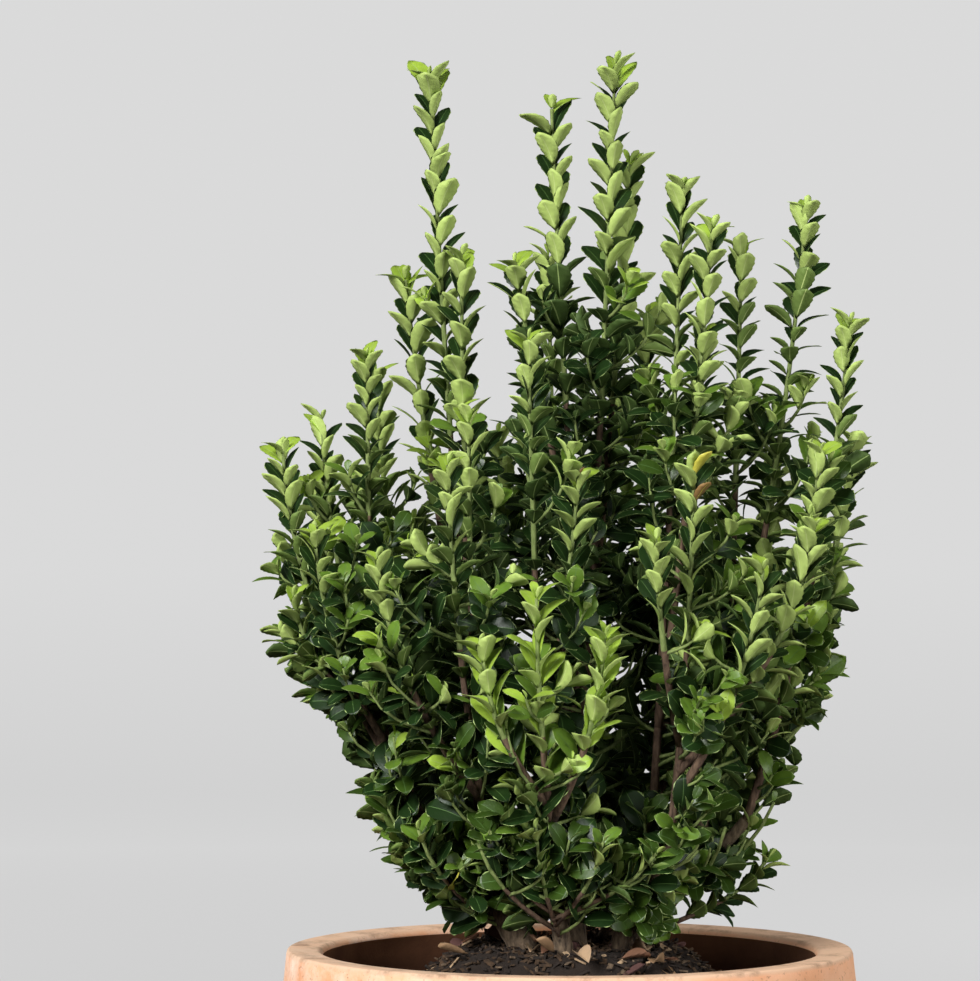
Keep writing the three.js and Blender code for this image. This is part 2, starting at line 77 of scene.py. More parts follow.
MASSES = {
    "left": ("left", 1, (-84, -24, 370), 0.9, 0.7,
             [(-153, 2, 632), (-176, -24, 614), (-154, -80, 562), (-168, -48, 524), (-124, -26, 670)]),
    "left_tall": ("left_back", 1, (-56, 36, 380), 0.6, 2.6,
                  [(-86, 24, 845), (-67, 4, 733), (-102, 44, 721)]),
    "back_left": ("left_back", 0.84, (-74, 66, 368), 0.85, 0.7,
                  [(-122, 104, 664), (-160, 66, 592), (-98, 132, 570)]),
    "front_left": ("front", 0.84, (-48, -80, 366), 0.85, 0.6,
                   [(-74, -112, 604), (-116, -122, 548), (-62, -60, 632)]),
    "front_centre": ("front", 1, (-10, -92, 366), 0.9, 2.4,
                     [(-22, -152, 526), (18, -150, 504), (-54, -148, 496)]),
    "front_mid": ("front", 0.92, (-16, -56, 380), 0.6, 0.8, [(-26, -66, 680), (4, -96, 596)]),
    "centre": ("centre", 1, (6, 4, 392), 0.6, 2.0,
               [(28, -6, 850), (-11, 8, 825), (38, 24, 792), (-34, -16, 727)]),
    "back_centre": ("centre", 0.8, (2, 46, 382), 0.75, 0.8,
                    [(-12, 88, 738), (34, 120, 650), (-44, 112, 624)]),
    "mid_right": ("front_right", 1, (50, -36, 384), 0.6, 1.3, [(69, -18, 774), (86, -40, 748)]),
    "front_right": ("front_right", 0.84, (58, -82, 366), 0.85, 1.2,
                    [(72, -108, 606), (112, -124, 542), (144, -92, 566), (48, -144, 560)]),
    "right_tall": ("right", 0.92, (84, 14, 382), 0.7, 0.7, [(147, 8, 763), (107, 16, 741)]),
    "right": ("right", 1, (108, -16, 380), 0.75, 0.8,
              [(172, -14, 691), (150, -58, 612), (177, 16, 618), (160, 52, 562)]),
    "back_right": ("right_back", 1, (56, 66, 374), 0.8, 0.7,
                   [(88, 98, 694), (50, 66, 700), (136, 98, 604)]),
    "back_low": ("right_back", 0.8, (30, 92, 366), 0.9, 0.7,
                 [(10, 158, 560), (-56, 148, 552), (98, 142, 556)]),
    "skirt_left": ("left", 0.32, None, 0.8, 0.3,
                   [(-114, -30, 402), (-92, -74, 388), (-104, 18, 394), (-82, 56, 384), (-66, -60, 366)]),
    "skirt_front": ("front", 0.32, None, 0.8, 0.3,
                    [(-22, -116, 392), (-56, -104, 382), (18, -114, 384), (50, -98, 376),
                     (-34, -84, 362)]),
    "skirt_right": ("right", 0.55, None, 0.8, 0.3,
                    [(124, -34, 402), (92, -80, 390), (118, 44, 394), (84, 60, 380), (78, -56, 366)]),
    "skirt_back": ("right_back", 0.32, None, 0.8, 0.3,
                   [(16, 116, 394), (62, 96, 386), (-38, 106, 388), (-62, 86, 380)]),
    "low_sprout": ("right", 0.27, None, 0.85, 0.2, [(122, -8, 366)]),
}

# The leaves are joined into these pieces.

PIECES = {
    "foliage_left": ("left", "left_tall", "skirt_left"),
    "foliage_front": ("front_left", "front_centre", "front_mid", "skirt_front"),
    "foliage_centre": ("centre", "back_centre"),
    "foliage_front_right": ("mid_right", "front_right"),
    "foliage_right": ("right_tall", "right", "skirt_right", "low_sprout"),
    "foliage_back": ("back_left", "back_right", "back_low", "skirt_back"),
}

STEM_SHAPE = {"sunk": 12, "bow": 0.32, "rise": 0.5, "flare": 0.5, "fade": 7, "taper": 0.42,
              "rings": 40, "sides": 28, "relief": 0.55}
BOUGH_SHAPE = {"share": 0.5, "end": 3.4, "bow": 0.6, "rise": 0.45, "rings": 18, "sides": 20, "relief": 0.35}

# The crown's outline: a height, the radius there and how far right of the pot's axis its middle is. The
# hollows inside it hold neither leaves nor twigs: each is its middle and its reach each way.

OUTLINE = ((300, 74, 0), (323, 80, 0), (336, 88, 0), (350, 102, 0), (362, 112, 0), (380, 121, 0),
           (400, 130, 1), (430, 140, 1), (453, 155, 0), (484, 173, -8), (515, 180, -9), (545, 183, -6),
           (600, 187, 2), (625, 191, 3))
HOLLOWS = (((36, -94, 424), (35, 80, 31)), ((98, -56, 372), (32, 52, 15)), ((-124, -70, 432), (16, 52, 26)),
           ((-34, -90, 555), (13, 50, 22)), ((50, -120, 492), (14, 50, 20)))
SHADE = {"height": 500, "depth": 104}  # below this height and this far inside, the twigs are bare
DARK_INSIDE = {"height": 450, "depth": 52, "rise": 0.48}  # leaves deeper than this take the deep tone, partly for age and partly as painted shade, and higher up less so
SOIL_GAP = 3  # how far the twigs and leaves keep above the soil

# A leading shoot's thickness, how steeply it rises, and where on the main shoot the others split off.
# Its topmost leaves stand above its tip.

LEAD = {"radius": 3.2, "tip": 1.0, "rise": 0.45, "split": 0.14, "split_step": 0.07}
BELOW = {"spire": 7, "skirt": 10}

# How a leading shoot grows on a bough, low on a stem, and as the single sprout at the foot: the share of
# its full thickness, of its length below its spire and below its side twigs, how close the side twigs
# are, and how far its leaves may pass the crown's outline.

TALL = {"thick": 0.9, "spire": 0.25, "first": 0.04, "spacing": 1, "beyond": 0}
LOW = {"thick": 0.55, "spire": 0.3, "first": 0.1, "spacing": 0.5, "beyond": 0}
SPROUT = {**LOW, "spire": 0.4, "beyond": 45}
SPLIT_FIRST, LOW_LAST = 0.12, 0.9  # where the side twigs start on a split shoot, and end on a low one

# The spire has no side twigs, and is longer on a taller shoot.

BARE = {"rise": 0.6, "above": 560, "least": 40, "most": 125, "share": 0.9, "gap": 20}
SPIRE = {"size": 0.76, "growth": 0.12, "first": 17, "lean": 0.2, "more_lean": 0.6, "upright": 45,
         "over": 80, "curl": 0.42, "thick": 1.2, "sizes": (0.88, 1.1)}

# A side twig turns on from the last by the golden angle. It is shortened until it fits.

GOLDEN_TURN = 2.4
SIDE = {"radius": 1.25, "tip": 0.7, "bow": 0.85, "rise": 0.35, "shortest": 16, "step": 5, "leaf_tips": 9,
        "leaf_size": 0.84, "slack": 4, "first": 16, "bare": 0.25, "lean": 0.45, "more_lean": 0.5,
        "over": 45, "curl": 0.38, "sizes": (0.85, 1.15), "lengths": (0.7, 1.3), "climb": (0.93, 0.25),
        "near_tip": 150}
YOUNG = {"share": 0.3, "vigour": 1.1, "others": 0.25}  # this share of the side twigs is young and fresh
SPREAD = {"height": 540, "share": 0.3}  # below this height the side twigs climb less, by this share

# Above this height the masses part by a gap, and side twigs keep close to their shoot, both less to the
# right.

AIRY = {"height": 600, "gap": 9, "close": 32, "right": 0.16, "closer": 1.5}

# The twigs on the crown's outer side grow on a stretch of a limb: its first and last share (None is where
# the bough leaves), how much they climb at least and at most, and how close they are.

LOW_TWIGS = {"stem foot": (0.28, None, -0.1, 0.5, 0.4), "stem top": (0.6, 1, -0.75, -0.3, 0.3),
             "bough": (0.0, 1.0, 0.2, 0.7, 1), "shoot": (0.0, 0.3, 0.3, 0.8, 1)}
LOW_TWIG = {"turn": 0.75, "lengths": (0.5, 1.1), "vigour": 0.3, "slack": 25, "leaf_size": 1.0}

# Each shoot and twig is a round tube. A thick shoot has old bark up to a share of its length.

TWIG = {"sides": 6, "ring_gap": 14, "fewest": 5, "old_radius": 1.3, "old_share": 0.5}

# Each pair of leaves at a tip: how far below the tip, its lean, its share of the full size and its curl.
# Every leaf differs a little in lean, roll, aim, size, curl and fold.

TIP_PAIRS = ((0, 0.14, 0.42, 0.2), (3.5, 0.4, 0.8, 0.55), (9, 0.22, 0.92, 0.45))
VARIED = {"lean": 0.1, "roll": 0.2, "aim": 0.12, "sizes": (0.86, 1.14), "curls": (0.7, 1.4),
          "folds": (0.08, 0.3)}
LEAF_MIDDLE, LEAF_GAP, MOST_LEAVES = 0.55, 3.2, 20000
TIP_BEYOND = 6  # how far a leaf's tip may pass the outline

# A leaf's tone goes by its age, which is its distance from the shoot's tip. Deep inside the crown a leaf
# takes the deep tone, partly for age and partly as painted shade. On a spire the upper sides are dark, and
# only the undersides stay pale, but in front, where it has most light, a spire is fresh all over.

TONE_AGES = (9, 30, 75)
SPIRE_TONES = (0, 6, 6, 7)
FRONT_TONES = (0, 0, 1, 2)
AGED = ((80, -114, 592, 4), (76, -116, 570, 5), (-3, -120, 634, 5), (-80, -60, 320, 4), (20, 110, 470, 4),
        (150, 60, 520, 4), (-120, 70, 480, 5))  # a place on the crown, and the tone of its leaf


# Colours, materials and meshes


def linear(code):
    """A colour's linear red, green, blue and alpha from its sRGB hex value."""
    parts = [int(code[i : i + 2], 16) / 255 for i in (1, 3, 5)]
    return (*[c / 12.92 if c <= 0.04045 else ((c + 0.055) / 1.055) ** 2.4 for c in parts], 1.0)


def add_node(tree, kind, settings=None, inputs=None):
    """Adds a node with its settings. An input is a plain value or colour, or the output that feeds it."""
    node = tree.nodes.new(kind)
    for name, value in (settings or {}).items():
        setattr(node, name, value)
    for name, value in (inputs or {}).items():
        if isinstance(value, bpy.types.NodeSocket):
            tree.links.new(value, node.inputs[name])
        else:
            node.inputs[name].default_value = value if np.isscalar(value) else tuple(value)
    return node


def new_material(name, colour, roughness, **sockets):
    """A material, with its nodes, its shader, and each point's place for what is added to it."""
    material = bpy.data.materials.new(name)
    material.use_nodes = True
    shader = material.node_tree.nodes["Principled BSDF"]
    shader.inputs["Base Color"].default_value = tuple(colour)
    shader.inputs["Roughness"].default_value = roughness
    for socket, value in sockets.items():
        shader.inputs[socket.replace("_", " ")].default_value = value
    place = add_node(material.node_tree, "ShaderNodeTexCoord").outputs["Object"]
    return material, material.node_tree, shader, place


def stain(tree, place, under, over, spot, band, detail, rough=0.5, most=1.0, where=None):
    """Lays a colour over another in spots of a real size in millimetres. Also gives the spots' height.

    band is where the noise goes from bare to covered, and where says how much of it shows at a place.
    """
    spots = add_node(tree, "ShaderNodeTexNoise", None,
                     {"Vector": place, "Scale": 1 / (spot * MM), "Detail": detail, "Roughness": rough})
    share = add_node(tree, "ShaderNodeMapRange", None,
                     {"Value": spots.outputs["Fac"], "From Min": band[0], "From Max": band[1],
                      "To Max": most})
    if where is not None:
        share = add_node(tree, "ShaderNodeMath", {"operation": "MULTIPLY"}, {0: share.outputs[0], 1: where})
    colour = add_node(tree, "ShaderNodeMix", {"data_type": "RGBA"},
                      {0: share.outputs[0], 6: under, 7: over})
    return colour.outputs[2], spots.outputs["Fac"]


def dress(tree, shader, colour, height, strength, depth):
    """Gives a shader its pattern's colour, and lets a height stand out by a depth in millimetres."""
    bump = add_node(tree, "ShaderNodeBump", None,
                    {"Height": height, "Strength": strength, "Distance": depth * MM})
    tree.links.new(colour, shader.inputs["Base Color"])
    tree.links.new(bump.outputs["Normal"], shader.inputs["Normal"])


def make_piece(name, points, faces, materials, slots=None, smooth=True):
    """A mesh object in the row frame, from points in millimetres. slots is each face's material."""
    mesh = bpy.data.meshes.new(name)
    mesh.from_pydata((np.asarray(points) * MM).tolist(), [], faces)
    for material in materials:
        mesh.materials.append(material)
    if slots is not None:
        mesh.polygons.foreach_set("material_index", np.asarray(slots, np.int32))
    mesh.polygons.foreach_set("use_smooth", np.full(len(mesh.polygons), smooth))
    mesh.validate()
    mesh.update()
    piece = bpy.data.objects.new(name, mesh)
    bpy.context.scene.collection.objects.link(piece)
    return piece


def finish_piece(piece, slot, *nodes):
    """Lets a piece ride on the plant's body and stand for its solids, which it hides. slot is not used."""
    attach(piece, BODY)
    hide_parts(*nodes)


class Shape:
    """Points, faces and face materials that are collected into one mesh."""

    def __init__(self):
        self.points, self.faces, self.slots, self.count = [], [], [], 0

    def add(self, points, faces, slot=0):
        """Adds points with the faces between them, all of one material or each of its own."""
        self.points.append(np.asarray(points))
        self.faces += [[i + self.count for i in face] for face in faces]
        self.slots += [slot] * len(faces) if np.isscalar(slot) else list(slot)
        self.count += len(points)

    def piece(self, name, materials, smooth=True):
        """The mesh object of all that was collected."""
        return make_piece(name, np.concatenate(self.points), self.faces, materials, self.slots, smooth)


def unit(vector):
    """A vector's direction, with a length of one."""
    return vector / np.linalg.norm(vector)


def ring_faces(rings, sides):
    """The faces of a closed skin over rings of points, with a flat face at each end."""
    faces = []
    for ring in range(rings - 1):
        for side in range(sides):
            a, b = ring * sides + side, ring * sides + (side + 1) % sides
            faces.append((a, b, b + sides, a + sides))
    last = (rings - 1) * sides
    return [*faces, tuple(range(sides))[::-1], tuple(last + side for side in range(sides))]


def turns_round(sides):
    """Angles evenly round a ring."""
    return np.arange(sides) * 2 * math.pi / sides


def tube(points, radii, sides):
    """A round skin along a line of points. radii has a radius for each ring, or for each point."""
    along = np.gradient(points, axis=0)
    along /= np.linalg.norm(along, axis=1)[:, None]
    normal = unit(np.cross(along[0], (0.31, 0.95, 0.05)))
    turns = turns_round(sides)
    rings = []
    for centre, axis, radius in zip(points, along, radii):
        normal = unit(normal - axis * np.dot(normal, axis))
        side = np.cross(axis, normal)
        ring = np.cos(turns)[:, None] * normal + np.sin(turns)[:, None] * side
        rings.append(centre + ring * np.reshape(radius, (-1, 1)))
    return np.concatenate(rings), ring_faces(len(points), sides)


def turned(profile, sides):
    """A skin turned round the upright axis, from a profile of (radius, height) from axis to axis."""
    turns = turns_round(sides)
    radius, height = np.array(profile[1:-1]).T
    points = np.stack([
        np.outer(radius, np.cos(turns)),
        np.outer(radius, np.sin(turns)),
        np.repeat(height[:, None], sides, 1),
    ], axis=-1).reshape(-1, 3)
    return points, ring_faces(len(radius), sides)


# The growth rule


class Curve:
    """A shoot's line: it leaves its start outwards and turns upright towards its end."""

    def __init__(self, start, end, bow, rise, count=21):
        start, end = np.array(start, float), np.array(end, float)
        bend = start + (end - start) * (bow, bow, rise)
        share = np.linspace(0, 1, count)[:, None]
        self.points = (1 - share) ** 2 * start + 2 * share * (1 - share) * bend + share**2 * end
        steps = np.linalg.norm(np.diff(self.points, axis=0), axis=1)
        self.ways = np.concatenate([[0], np.cumsum(steps)])
        self.length = self.ways[-1]

    def at(self, way):
        """The point at a way along the line."""
        return np.array([np.interp(way, self.ways, column) for column in self.points.T])

    def line(self, count):
        """Ways at even steps along the line, and their points."""
        ways = np.linspace(0, self.length, count)
        return ways, np.array([self.at(way) for way in ways])

    def along(self, way):
        """The line's direction at a way along it."""
        step = 0.02 * self.length
        return unit(self.at(min(way + step, self.length)) - self.at(max(way - step, 0)))


def stem_curve(name):
    """A stem's line, from inside the soil to its fork."""
    foot, fork, _ = STEMS[name]
    start = (*foot, SOIL_TOP - STEM_SHAPE["sunk"])
    return Curve(start, fork, STEM_SHAPE["bow"], STEM_SHAPE["rise"])


def bough_curve(name):
    """A bough's line, from its stem into its mass."""
    stem, share, entry, *_ = MASSES[name]
    parent = stem_curve(stem)
    return Curve(parent.at(share * parent.length), entry, BOUGH_SHAPE["bow"], BOUGH_SHAPE["rise"])


def lead_curves(name):
    """A mass's leading shoots: the main one, and the others that split off it."""
    stem, share, entry, bow, _, tips = MASSES[name]
    below = BELOW["spire" if entry else "skirt"]
    ends = [(x, y, z - below) for x, y, z in tips]
    parent = stem_curve(stem)
    start = entry or parent.at(share * parent.length)
    main = Curve(start, ends[0], bow, LEAD["rise"])
    leads = [main]
    for i, end in enumerate(ends[1:]):
        split = main.at((LEAD["split"] + i * LEAD["split_step"]) * main.length)
        leads.append(Curve(split, end, bow, LEAD["rise"]))
    return leads


def depth_inside(point):
    """How far a point is inside the crown's outline, measured level."""
    x, y, z = point
    heights, radii, middles = zip(*OUTLINE)
    return np.interp(z, heights, radii) - math.hypot(x - np.interp(z, heights, middles), y)


def in_outline(point, beyond=0.0):
    """Says whether a point is above the soil and inside the crown's outline."""
    return point[2] > SOIL_TOP + SOIL_GAP and depth_inside(point) > -beyond


def in_hollow(point):
    """Says whether a point is in one of the crown's hollows."""
    return any(np.linalg.norm((point - centre) / reach) < 1 for centre, reach in HOLLOWS)


def rule_of(name):
    """How a mass's leading shoots grow."""
    if name == "low_sprout":
        return SPROUT
    return TALL if MASSES[name][2] else LOW


class Crown:
    """The leaves and twigs of the whole crown, as they are grown."""

    def __init__(self, settings):
        self.settings = settings
        self.leads = {name: lead_curves(name) for name in MASSES}
        self.line_points = np.concatenate([c.points for leads in self.leads.values() for c in leads])
        self.line_masses = np.concatenate(
            [[i] * len(c.points) for i, leads in enumerate(self.leads.values()) for c in leads])
        self.leaves = {name: [] for name in MASSES}
        self.twigs = []
        self.middles = np.full((MOST_LEAVES, 3), np.inf)
        self.placed = 0

    def own_space(self, name, point, slack):
        """Says whether a point is nearer to a mass's own shoots than to any other's, or nearly so."""
        distances = np.linalg.norm(self.line_points - point, axis=1)
        own = self.line_masses == list(MASSES).index(name)
        return distances[own].min() < distances[~own].min() + slack

    def add_leaf(self, name, root, along, face, length, tone, curl, fold):
        """Places a leaf where it keeps to the outline and isn't on top of another."""
        middle, tip = root + along * length * LEAF_MIDDLE, root + along * length
        beyond = rule_of(name)["beyond"]
        if not in_outline(middle, beyond) or not in_outline(tip, beyond + TIP_BEYOND):
            return
        depth = depth_inside(root)
        if root[2] < SHADE["height"] and depth > SHADE["depth"]:
            return
        if in_hollow(middle):
            return
        # Deep inside the crown a leaf takes the deep tone: partly for age, partly painted shade for the
        # dark inside.
        if depth > DARK_INSIDE["depth"] + DARK_INSIDE["rise"] * max(root[2] - DARK_INSIDE["height"], 0):
            tone = 3
        gaps = np.linalg.norm(self.middles[: self.placed] - middle, axis=1)
        if gaps.min(initial=np.inf) < LEAF_GAP:
            return
        self.middles[self.placed] = middle
        self.placed += 1
        self.leaves[name].append((root, along, face, length, tone, curl, fold))

    def leaf_pair(self, name, curve, way, turn, lean, length, tones, rng, curl, thick=1.0):
        """A pair of opposite leaves at a place along a shoot."""
        axis = curve.along(way)
        side = unit(np.cross(axis, (0.05, 1, 0.1)))
        across = np.cross(axis, side)
        out = side * math.cos(turn) + across * math.sin(turn)
        for flip, tone in zip((1, -1), tones):
            angle = lean + rng.normal(0, VARIED["lean"])
            along = axis * math.cos(angle) + flip * out * math.sin(angle)
            face = unit(axis - along * np.dot(axis, along))
            face = unit(face + rng.normal(0, VARIED["roll"]) * np.cross(along, face))
            along = unit(along + VARIED["aim"] * rng.normal(size=3) * (1, 1, 0.5))
            face = unit(face - along * np.dot(face, along))
            size = length * rng.uniform(*VARIED["sizes"])
            root = curve.at(way) + flip * out * thick
            bend = curl * rng.uniform(*VARIED["curls"])
            self.add_leaf(name, root, along, face, size, tone, bend, rng.uniform(*VARIED["folds"]))

    def tip_cluster(self, name, curve, turn, length, tones, rng):
        """The small leaves that are still folded together at a shoot's tip."""
        for below, lean, share, curl in TIP_PAIRS:
            turn += math.pi / 2
            way = curve.length - below
            self.leaf_pair(name, curve, way, turn, lean, length * share, tones, rng, curl, thick=0.5)
        return turn

    def tone(self, age, vigour, rng):
        """A leaf's tone, from lime at a fresh tip to deep green on old wood."""
        limits = np.array(TONE_AGES) * vigour * rng.uniform(0.7, 1.3)
        return int(np.searchsorted(limits, age))

    def spire(self, name, curve, start, vigour, rng):
        """The upper stretch of a leading shoot: pairs of upright leaves from its tip down."""
        size = SPIRE["size"] + SPIRE["growth"] * min(vigour, 2)
        leaf = self.settings.leaf_length / MM * size
        turn = math.pi / 4 + rng.normal(0, 0.2)
        tip_tone = 0 if vigour > 0.5 else 1
        turn = self.tip_cluster(name, curve, turn, leaf, (tip_tone, tip_tone), rng)
        spire_tones = FRONT_TONES if name == "front_centre" else SPIRE_TONES
        way = curve.length - SPIRE["first"]
        while way > start:
            turn += math.pi / 2 + rng.normal(0, 0.12)
            age = curve.length - way
            tones = [spire_tones[self.tone(age, vigour, rng)] for _ in range(2)]
            opened = np.clip((age - SPIRE["upright"] * min(vigour, 2.4)) / SPIRE["over"], 0, 1)
            lean = SPIRE["lean"] + SPIRE["more_lean"] * opened
            length = leaf * rng.uniform(*SPIRE["sizes"])
            self.leaf_pair(name, curve, way, turn, lean, length, tones, rng, SPIRE["curl"], SPIRE["thick"])
            way -= self.settings.leaf_spacing / MM * size**2 * rng.uniform(0.85, 1.15)

    def side_twig(self, name, lead, way, turn, climb, length, vigour, rng, slack, leaf_size):
        """A side twig with its leaves: it grows up and out as far as the mass's space lets it."""
        start = lead.at(way)
        flat = math.sqrt(1 - climb**2)
        out = np.array((math.cos(turn) * flat, math.sin(turn) * flat, climb))
        reach = length
        while reach > SIDE["shortest"]:
            tip = start + out * (reach + SIDE["leaf_tips"])
            room, aside, ease = slack, 0, AIRY["right"] * tip[0]
            if tip[2] > AIRY["height"]:
                room += ease - AIRY["gap"]
                aside = math.dist(tip[:2], lead.points[-1][:2]) - AIRY["closer"] * ease
            if aside < AIRY["close"] and in_outline(tip) and self.own_space(name, tip, room):
                break
            reach -= SIDE["step"]
        else:
            return
        curve = Curve(start, start + out * reach, SIDE["bow"], SIDE["rise"], count=9)
        if in_hollow(curve.at(0.6 * curve.length)):
            return
        self.twigs.append((curve, SIDE["radius"], SIDE["tip"]))
        leaf = self.settings.leaf_length / MM * leaf_size
        kind = "vigour" if rng.uniform() < YOUNG["share"] else "others"
        young = vigour * YOUNG[kind]
        tip_tone = min(self.tone(4, young, rng), 2)
        leaf_turn = rng.uniform(0, math.pi)
        leaf_turn = self.tip_cluster(name, curve, leaf_turn, leaf, (tip_tone, tip_tone), rng)
        way = curve.length - SIDE["first"]
        while way > SIDE["bare"] * curve.length:
            leaf_turn += math.pi / 2 + rng.normal(0, 0.15)
            age = curve.length - way
            tones = [self.tone(age, young, rng) for _ in range(2)]
            lean = SIDE["lean"] + SIDE["more_lean"] * min(age / SIDE["over"], 1)
            size = leaf * rng.uniform(*SIDE["sizes"])
            self.leaf_pair(name, curve, way, leaf_turn, lean, size, tones, rng, SIDE["curl"])
            way -= self.settings.leaf_spacing / MM * leaf_size * rng.uniform(0.85, 1.15)

    def grow_mass(self, name, seed):
        """Grows one mass: leading shoots with their spires, and side twigs below them."""
        rng = np.random.default_rng(seed)
        entry, vigour, rule = MASSES[name][2], MASSES[name][4], rule_of(name)
        for number, lead in enumerate(self.leads[name]):
            bare = np.clip(BARE["rise"] * (lead.points[-1][2] - BARE["above"]), BARE["least"], BARE["most"])
            free = lead.length - BARE["share"] * bare
            self.twigs.append((lead, LEAD["radius"] * rule["thick"], LEAD["tip"]))
            self.spire(name, lead, rule["spire"] * lead.length, vigour, rng)
            turn = rng.uniform(0, 2 * math.pi)
            way = (SPLIT_FIRST if number else rule["first"]) * lead.length
            end = free - BARE["gap"] if entry else LOW_LAST * lead.length
            while way < end:
                turn += GOLDEN_TURN + rng.normal(0, 0.2)
                near_tip = np.clip((lead.length - way) / SIDE["near_tip"], 0.4, 1)
                length = self.settings.twig_length / MM * rng.uniform(*SIDE["lengths"]) * near_tip
                length = min(length, free - way) if entry else length
                low_down = lead.at(way)[2] < SPREAD["height"]
                most_climb, less_climb = SIDE["climb"]
                climb = most_climb - rng.uniform(0, less_climb) * near_tip - SPREAD["share"] * low_down
                self.side_twig(name, lead, way, turn, climb, length, vigour, rng, SIDE["slack"],
                               SIDE["leaf_size"])
                way += self.settings.twig_spacing / MM * rule["spacing"] * rng.uniform(0.8, 1.2)
        if entry:
            self.low_twigs(name, rng)

    def low_twigs(self, name, rng):
        """The leafy twigs on the crown's outer side below its leading shoots: on stem, bough and shoot."""
        stem, share, *_ = MASSES[name]
        limbs = (stem_curve(stem), stem_curve(stem), bough_curve(name), self.leads[name][0])
        for limb, stretch in zip(limbs, LOW_TWIGS.values()):
            first, last, least_climb, most_climb, spacing = stretch
            way = first * limb.length
            while way < (last or share) * limb.length:
                x, y, _ = limb.at(way)
                turn = math.atan2(y, x) + rng.normal(0, LOW_TWIG["turn"])
                length = self.settings.twig_length / MM * rng.uniform(*LOW_TWIG["lengths"])
                climb = rng.uniform(least_climb, most_climb)
                self.side_twig(name, limb, way, turn, climb, length, LOW_TWIG["vigour"], rng,
                               LOW_TWIG["slack"], LOW_TWIG["leaf_size"])
                way += spacing * self.settings.low_spacing / MM * rng.uniform(0.8, 1.2)

    def age_leaves(self):
        """Turns the leaf nearest each known place yellow or brown."""
        for *place, tone in AGED:
            gaps = {name: [np.linalg.norm(leaf[0] - place) for leaf in leaves]
                    for name, leaves in self.leaves.items()}
            name = min(gaps, key=lambda key: min(gaps[key], default=9e9))
            number = int(np.argmin(gaps[name]))
            leaf = self.leaves[name][number]
            self.leaves[name][number] = (*leaf[:4], tone, *leaf[5:])


# Leaf blades

LEAF_OUTLINE = ((0.0, 0.0), (0.06, 0.16), (0.12, 0.26), (0.24, 0.56), (0.38, 0.82), (0.54, 0.99),
                (0.7, 1.02), (0.82, 0.9), (0.92, 0.66), (1.0, 0.0))  # half-width along the leaf
LEAF_ROWS = (0.17, 0.34, 0.52, 0.71, 0.88)
TOOTH = {"share": 0.64, "width": 1.06, "notch": 0.94}  # its tip's place between rows, and the widths
UPPER_LINES = (-1, -0.95, -0.03, 0.03, 0.95, 1)
UNDER_LINES = (-0.05, 0.05)
MARGIN, BLADE, RIB, UNDER, KEEL = range(5)
KINDS = (MARGIN, BLADE, RIB, BLADE, MARGIN, UNDER, KEEL, UNDER)
LEAF_THICK = 0.014
DEEP_TONE, DEEP_TONE_WIDER = 3, 1.12  # the deep tone, of old leaves and of the inner leaves where it is painted shade, which are broader than the others


def leaf_template():
    """A toothed leaf of unit length and half-width: its points, faces and what each face is."""
    points = [(0, 0, 0)]

    def half_width(s):
        return np.interp(s, *zip(*LEAF_OUTLINE))

    def add(*new):
        points.extend(new)
        return [*range(len(points) - len(new), len(points))]

    rows = [([0] * 6, [0] * 2)]
    for s in LEAF_ROWS:
        w = half_width(s)
        upper = [(s, u * w * (TOOTH["notch"] if abs(u) == 1 else 1), LEAF_THICK / 2 * (abs(u) < 1))
                 for u in UPPER_LINES]
        rows.append((add(*upper), add(*[(s, u * w, -LEAF_THICK / 2) for u in UNDER_LINES])))
    tip = add((1, 0, 0))
    rows.append((tip * 6, tip * 2))
    faces = []
    ends = (0, *LEAF_ROWS, 1)
    for row, (upper, under) in enumerate(rows[:-1]):
        next_upper, next_under = rows[row + 1]
        s = ends[row] + TOOTH["share"] * (ends[row + 1] - ends[row])
        left, right = add(*[(s, side * TOOTH["width"] * half_width(s), 0) for side in (-1, 1)])
        corners = [[upper[0], left, next_upper[0], next_upper[1], upper[1]]]
        corners += [[upper[i], next_upper[i], next_upper[i + 1], upper[i + 1]] for i in (1, 2, 3)]
        corners.append([upper[4], next_upper[4], next_upper[5], right, upper[5]])
        corners.append([upper[0], under[0], next_under[0], next_upper[0], left])
        corners.append([under[0], under[1], next_under[1], next_under[0]])
        corners.append([under[1], upper[5], right, next_upper[5], next_under[1]])
        faces += [tuple(dict.fromkeys(face)) for face in corners]
    return np.array(points, float), faces, np.array(KINDS * (len(rows) - 1))


def leaf_points(leaves, template, width):
    """The points of all leaves at once, each bent back along its length and folded along its rib."""
    root, along, face, length, tone, curl, fold = (np.array(column, float) for column in zip(*leaves))
    across = np.cross(face, along)
    s, u, lift = template.T
    half = width / 2 * np.where(tone == DEEP_TONE, DEEP_TONE_WIDER, 1)
    sideways = np.outer(half, u)
    up = lift - np.outer(curl, s**2) + fold[:, None] * np.abs(sideways)
    local = (along[:, None, :] * s[None, :, None]
             + across[:, None, :] * sideways[:, :, None]
             + face[:, None, :] * up[:, :, None])
    return (root[:, None, :] + local * length[:, None, None]).reshape(-1, 3)


def join_leaves(name, leaves, materials, slots_of, width):
    """One mesh of many leaves. slots_of gives the material slots of a tone, by kind of face."""
    template, faces, kinds = leaf_template()
    points = leaf_points(leaves, template, width)
    all_faces, all_slots = [], []
    for number, leaf in enumerate(leaves):
        start = number * len(template)
        all_faces += [[start + i for i in face] for face in faces]
        all_slots.append(np.array(slots_of[leaf[4]])[kinds])
    return make_piece(name, points, all_faces, materials, np.concatenate(all_slots))


# Settings


def length_setting(name, description, default, least, most):
    """A length that can be changed, in metres."""
    return bpy.props.FloatProperty(name=name, description=description, default=default, min=least,
                                   max=most, unit="LENGTH", precision=4)


def colour_setting(name, description, code):
    """A colour that can be changed, from its sRGB hex value."""
    return bpy.props.FloatVectorProperty(name=name, description=description, default=linear(code),
                                         size=4, min=0, max=1, subtype="COLOR")


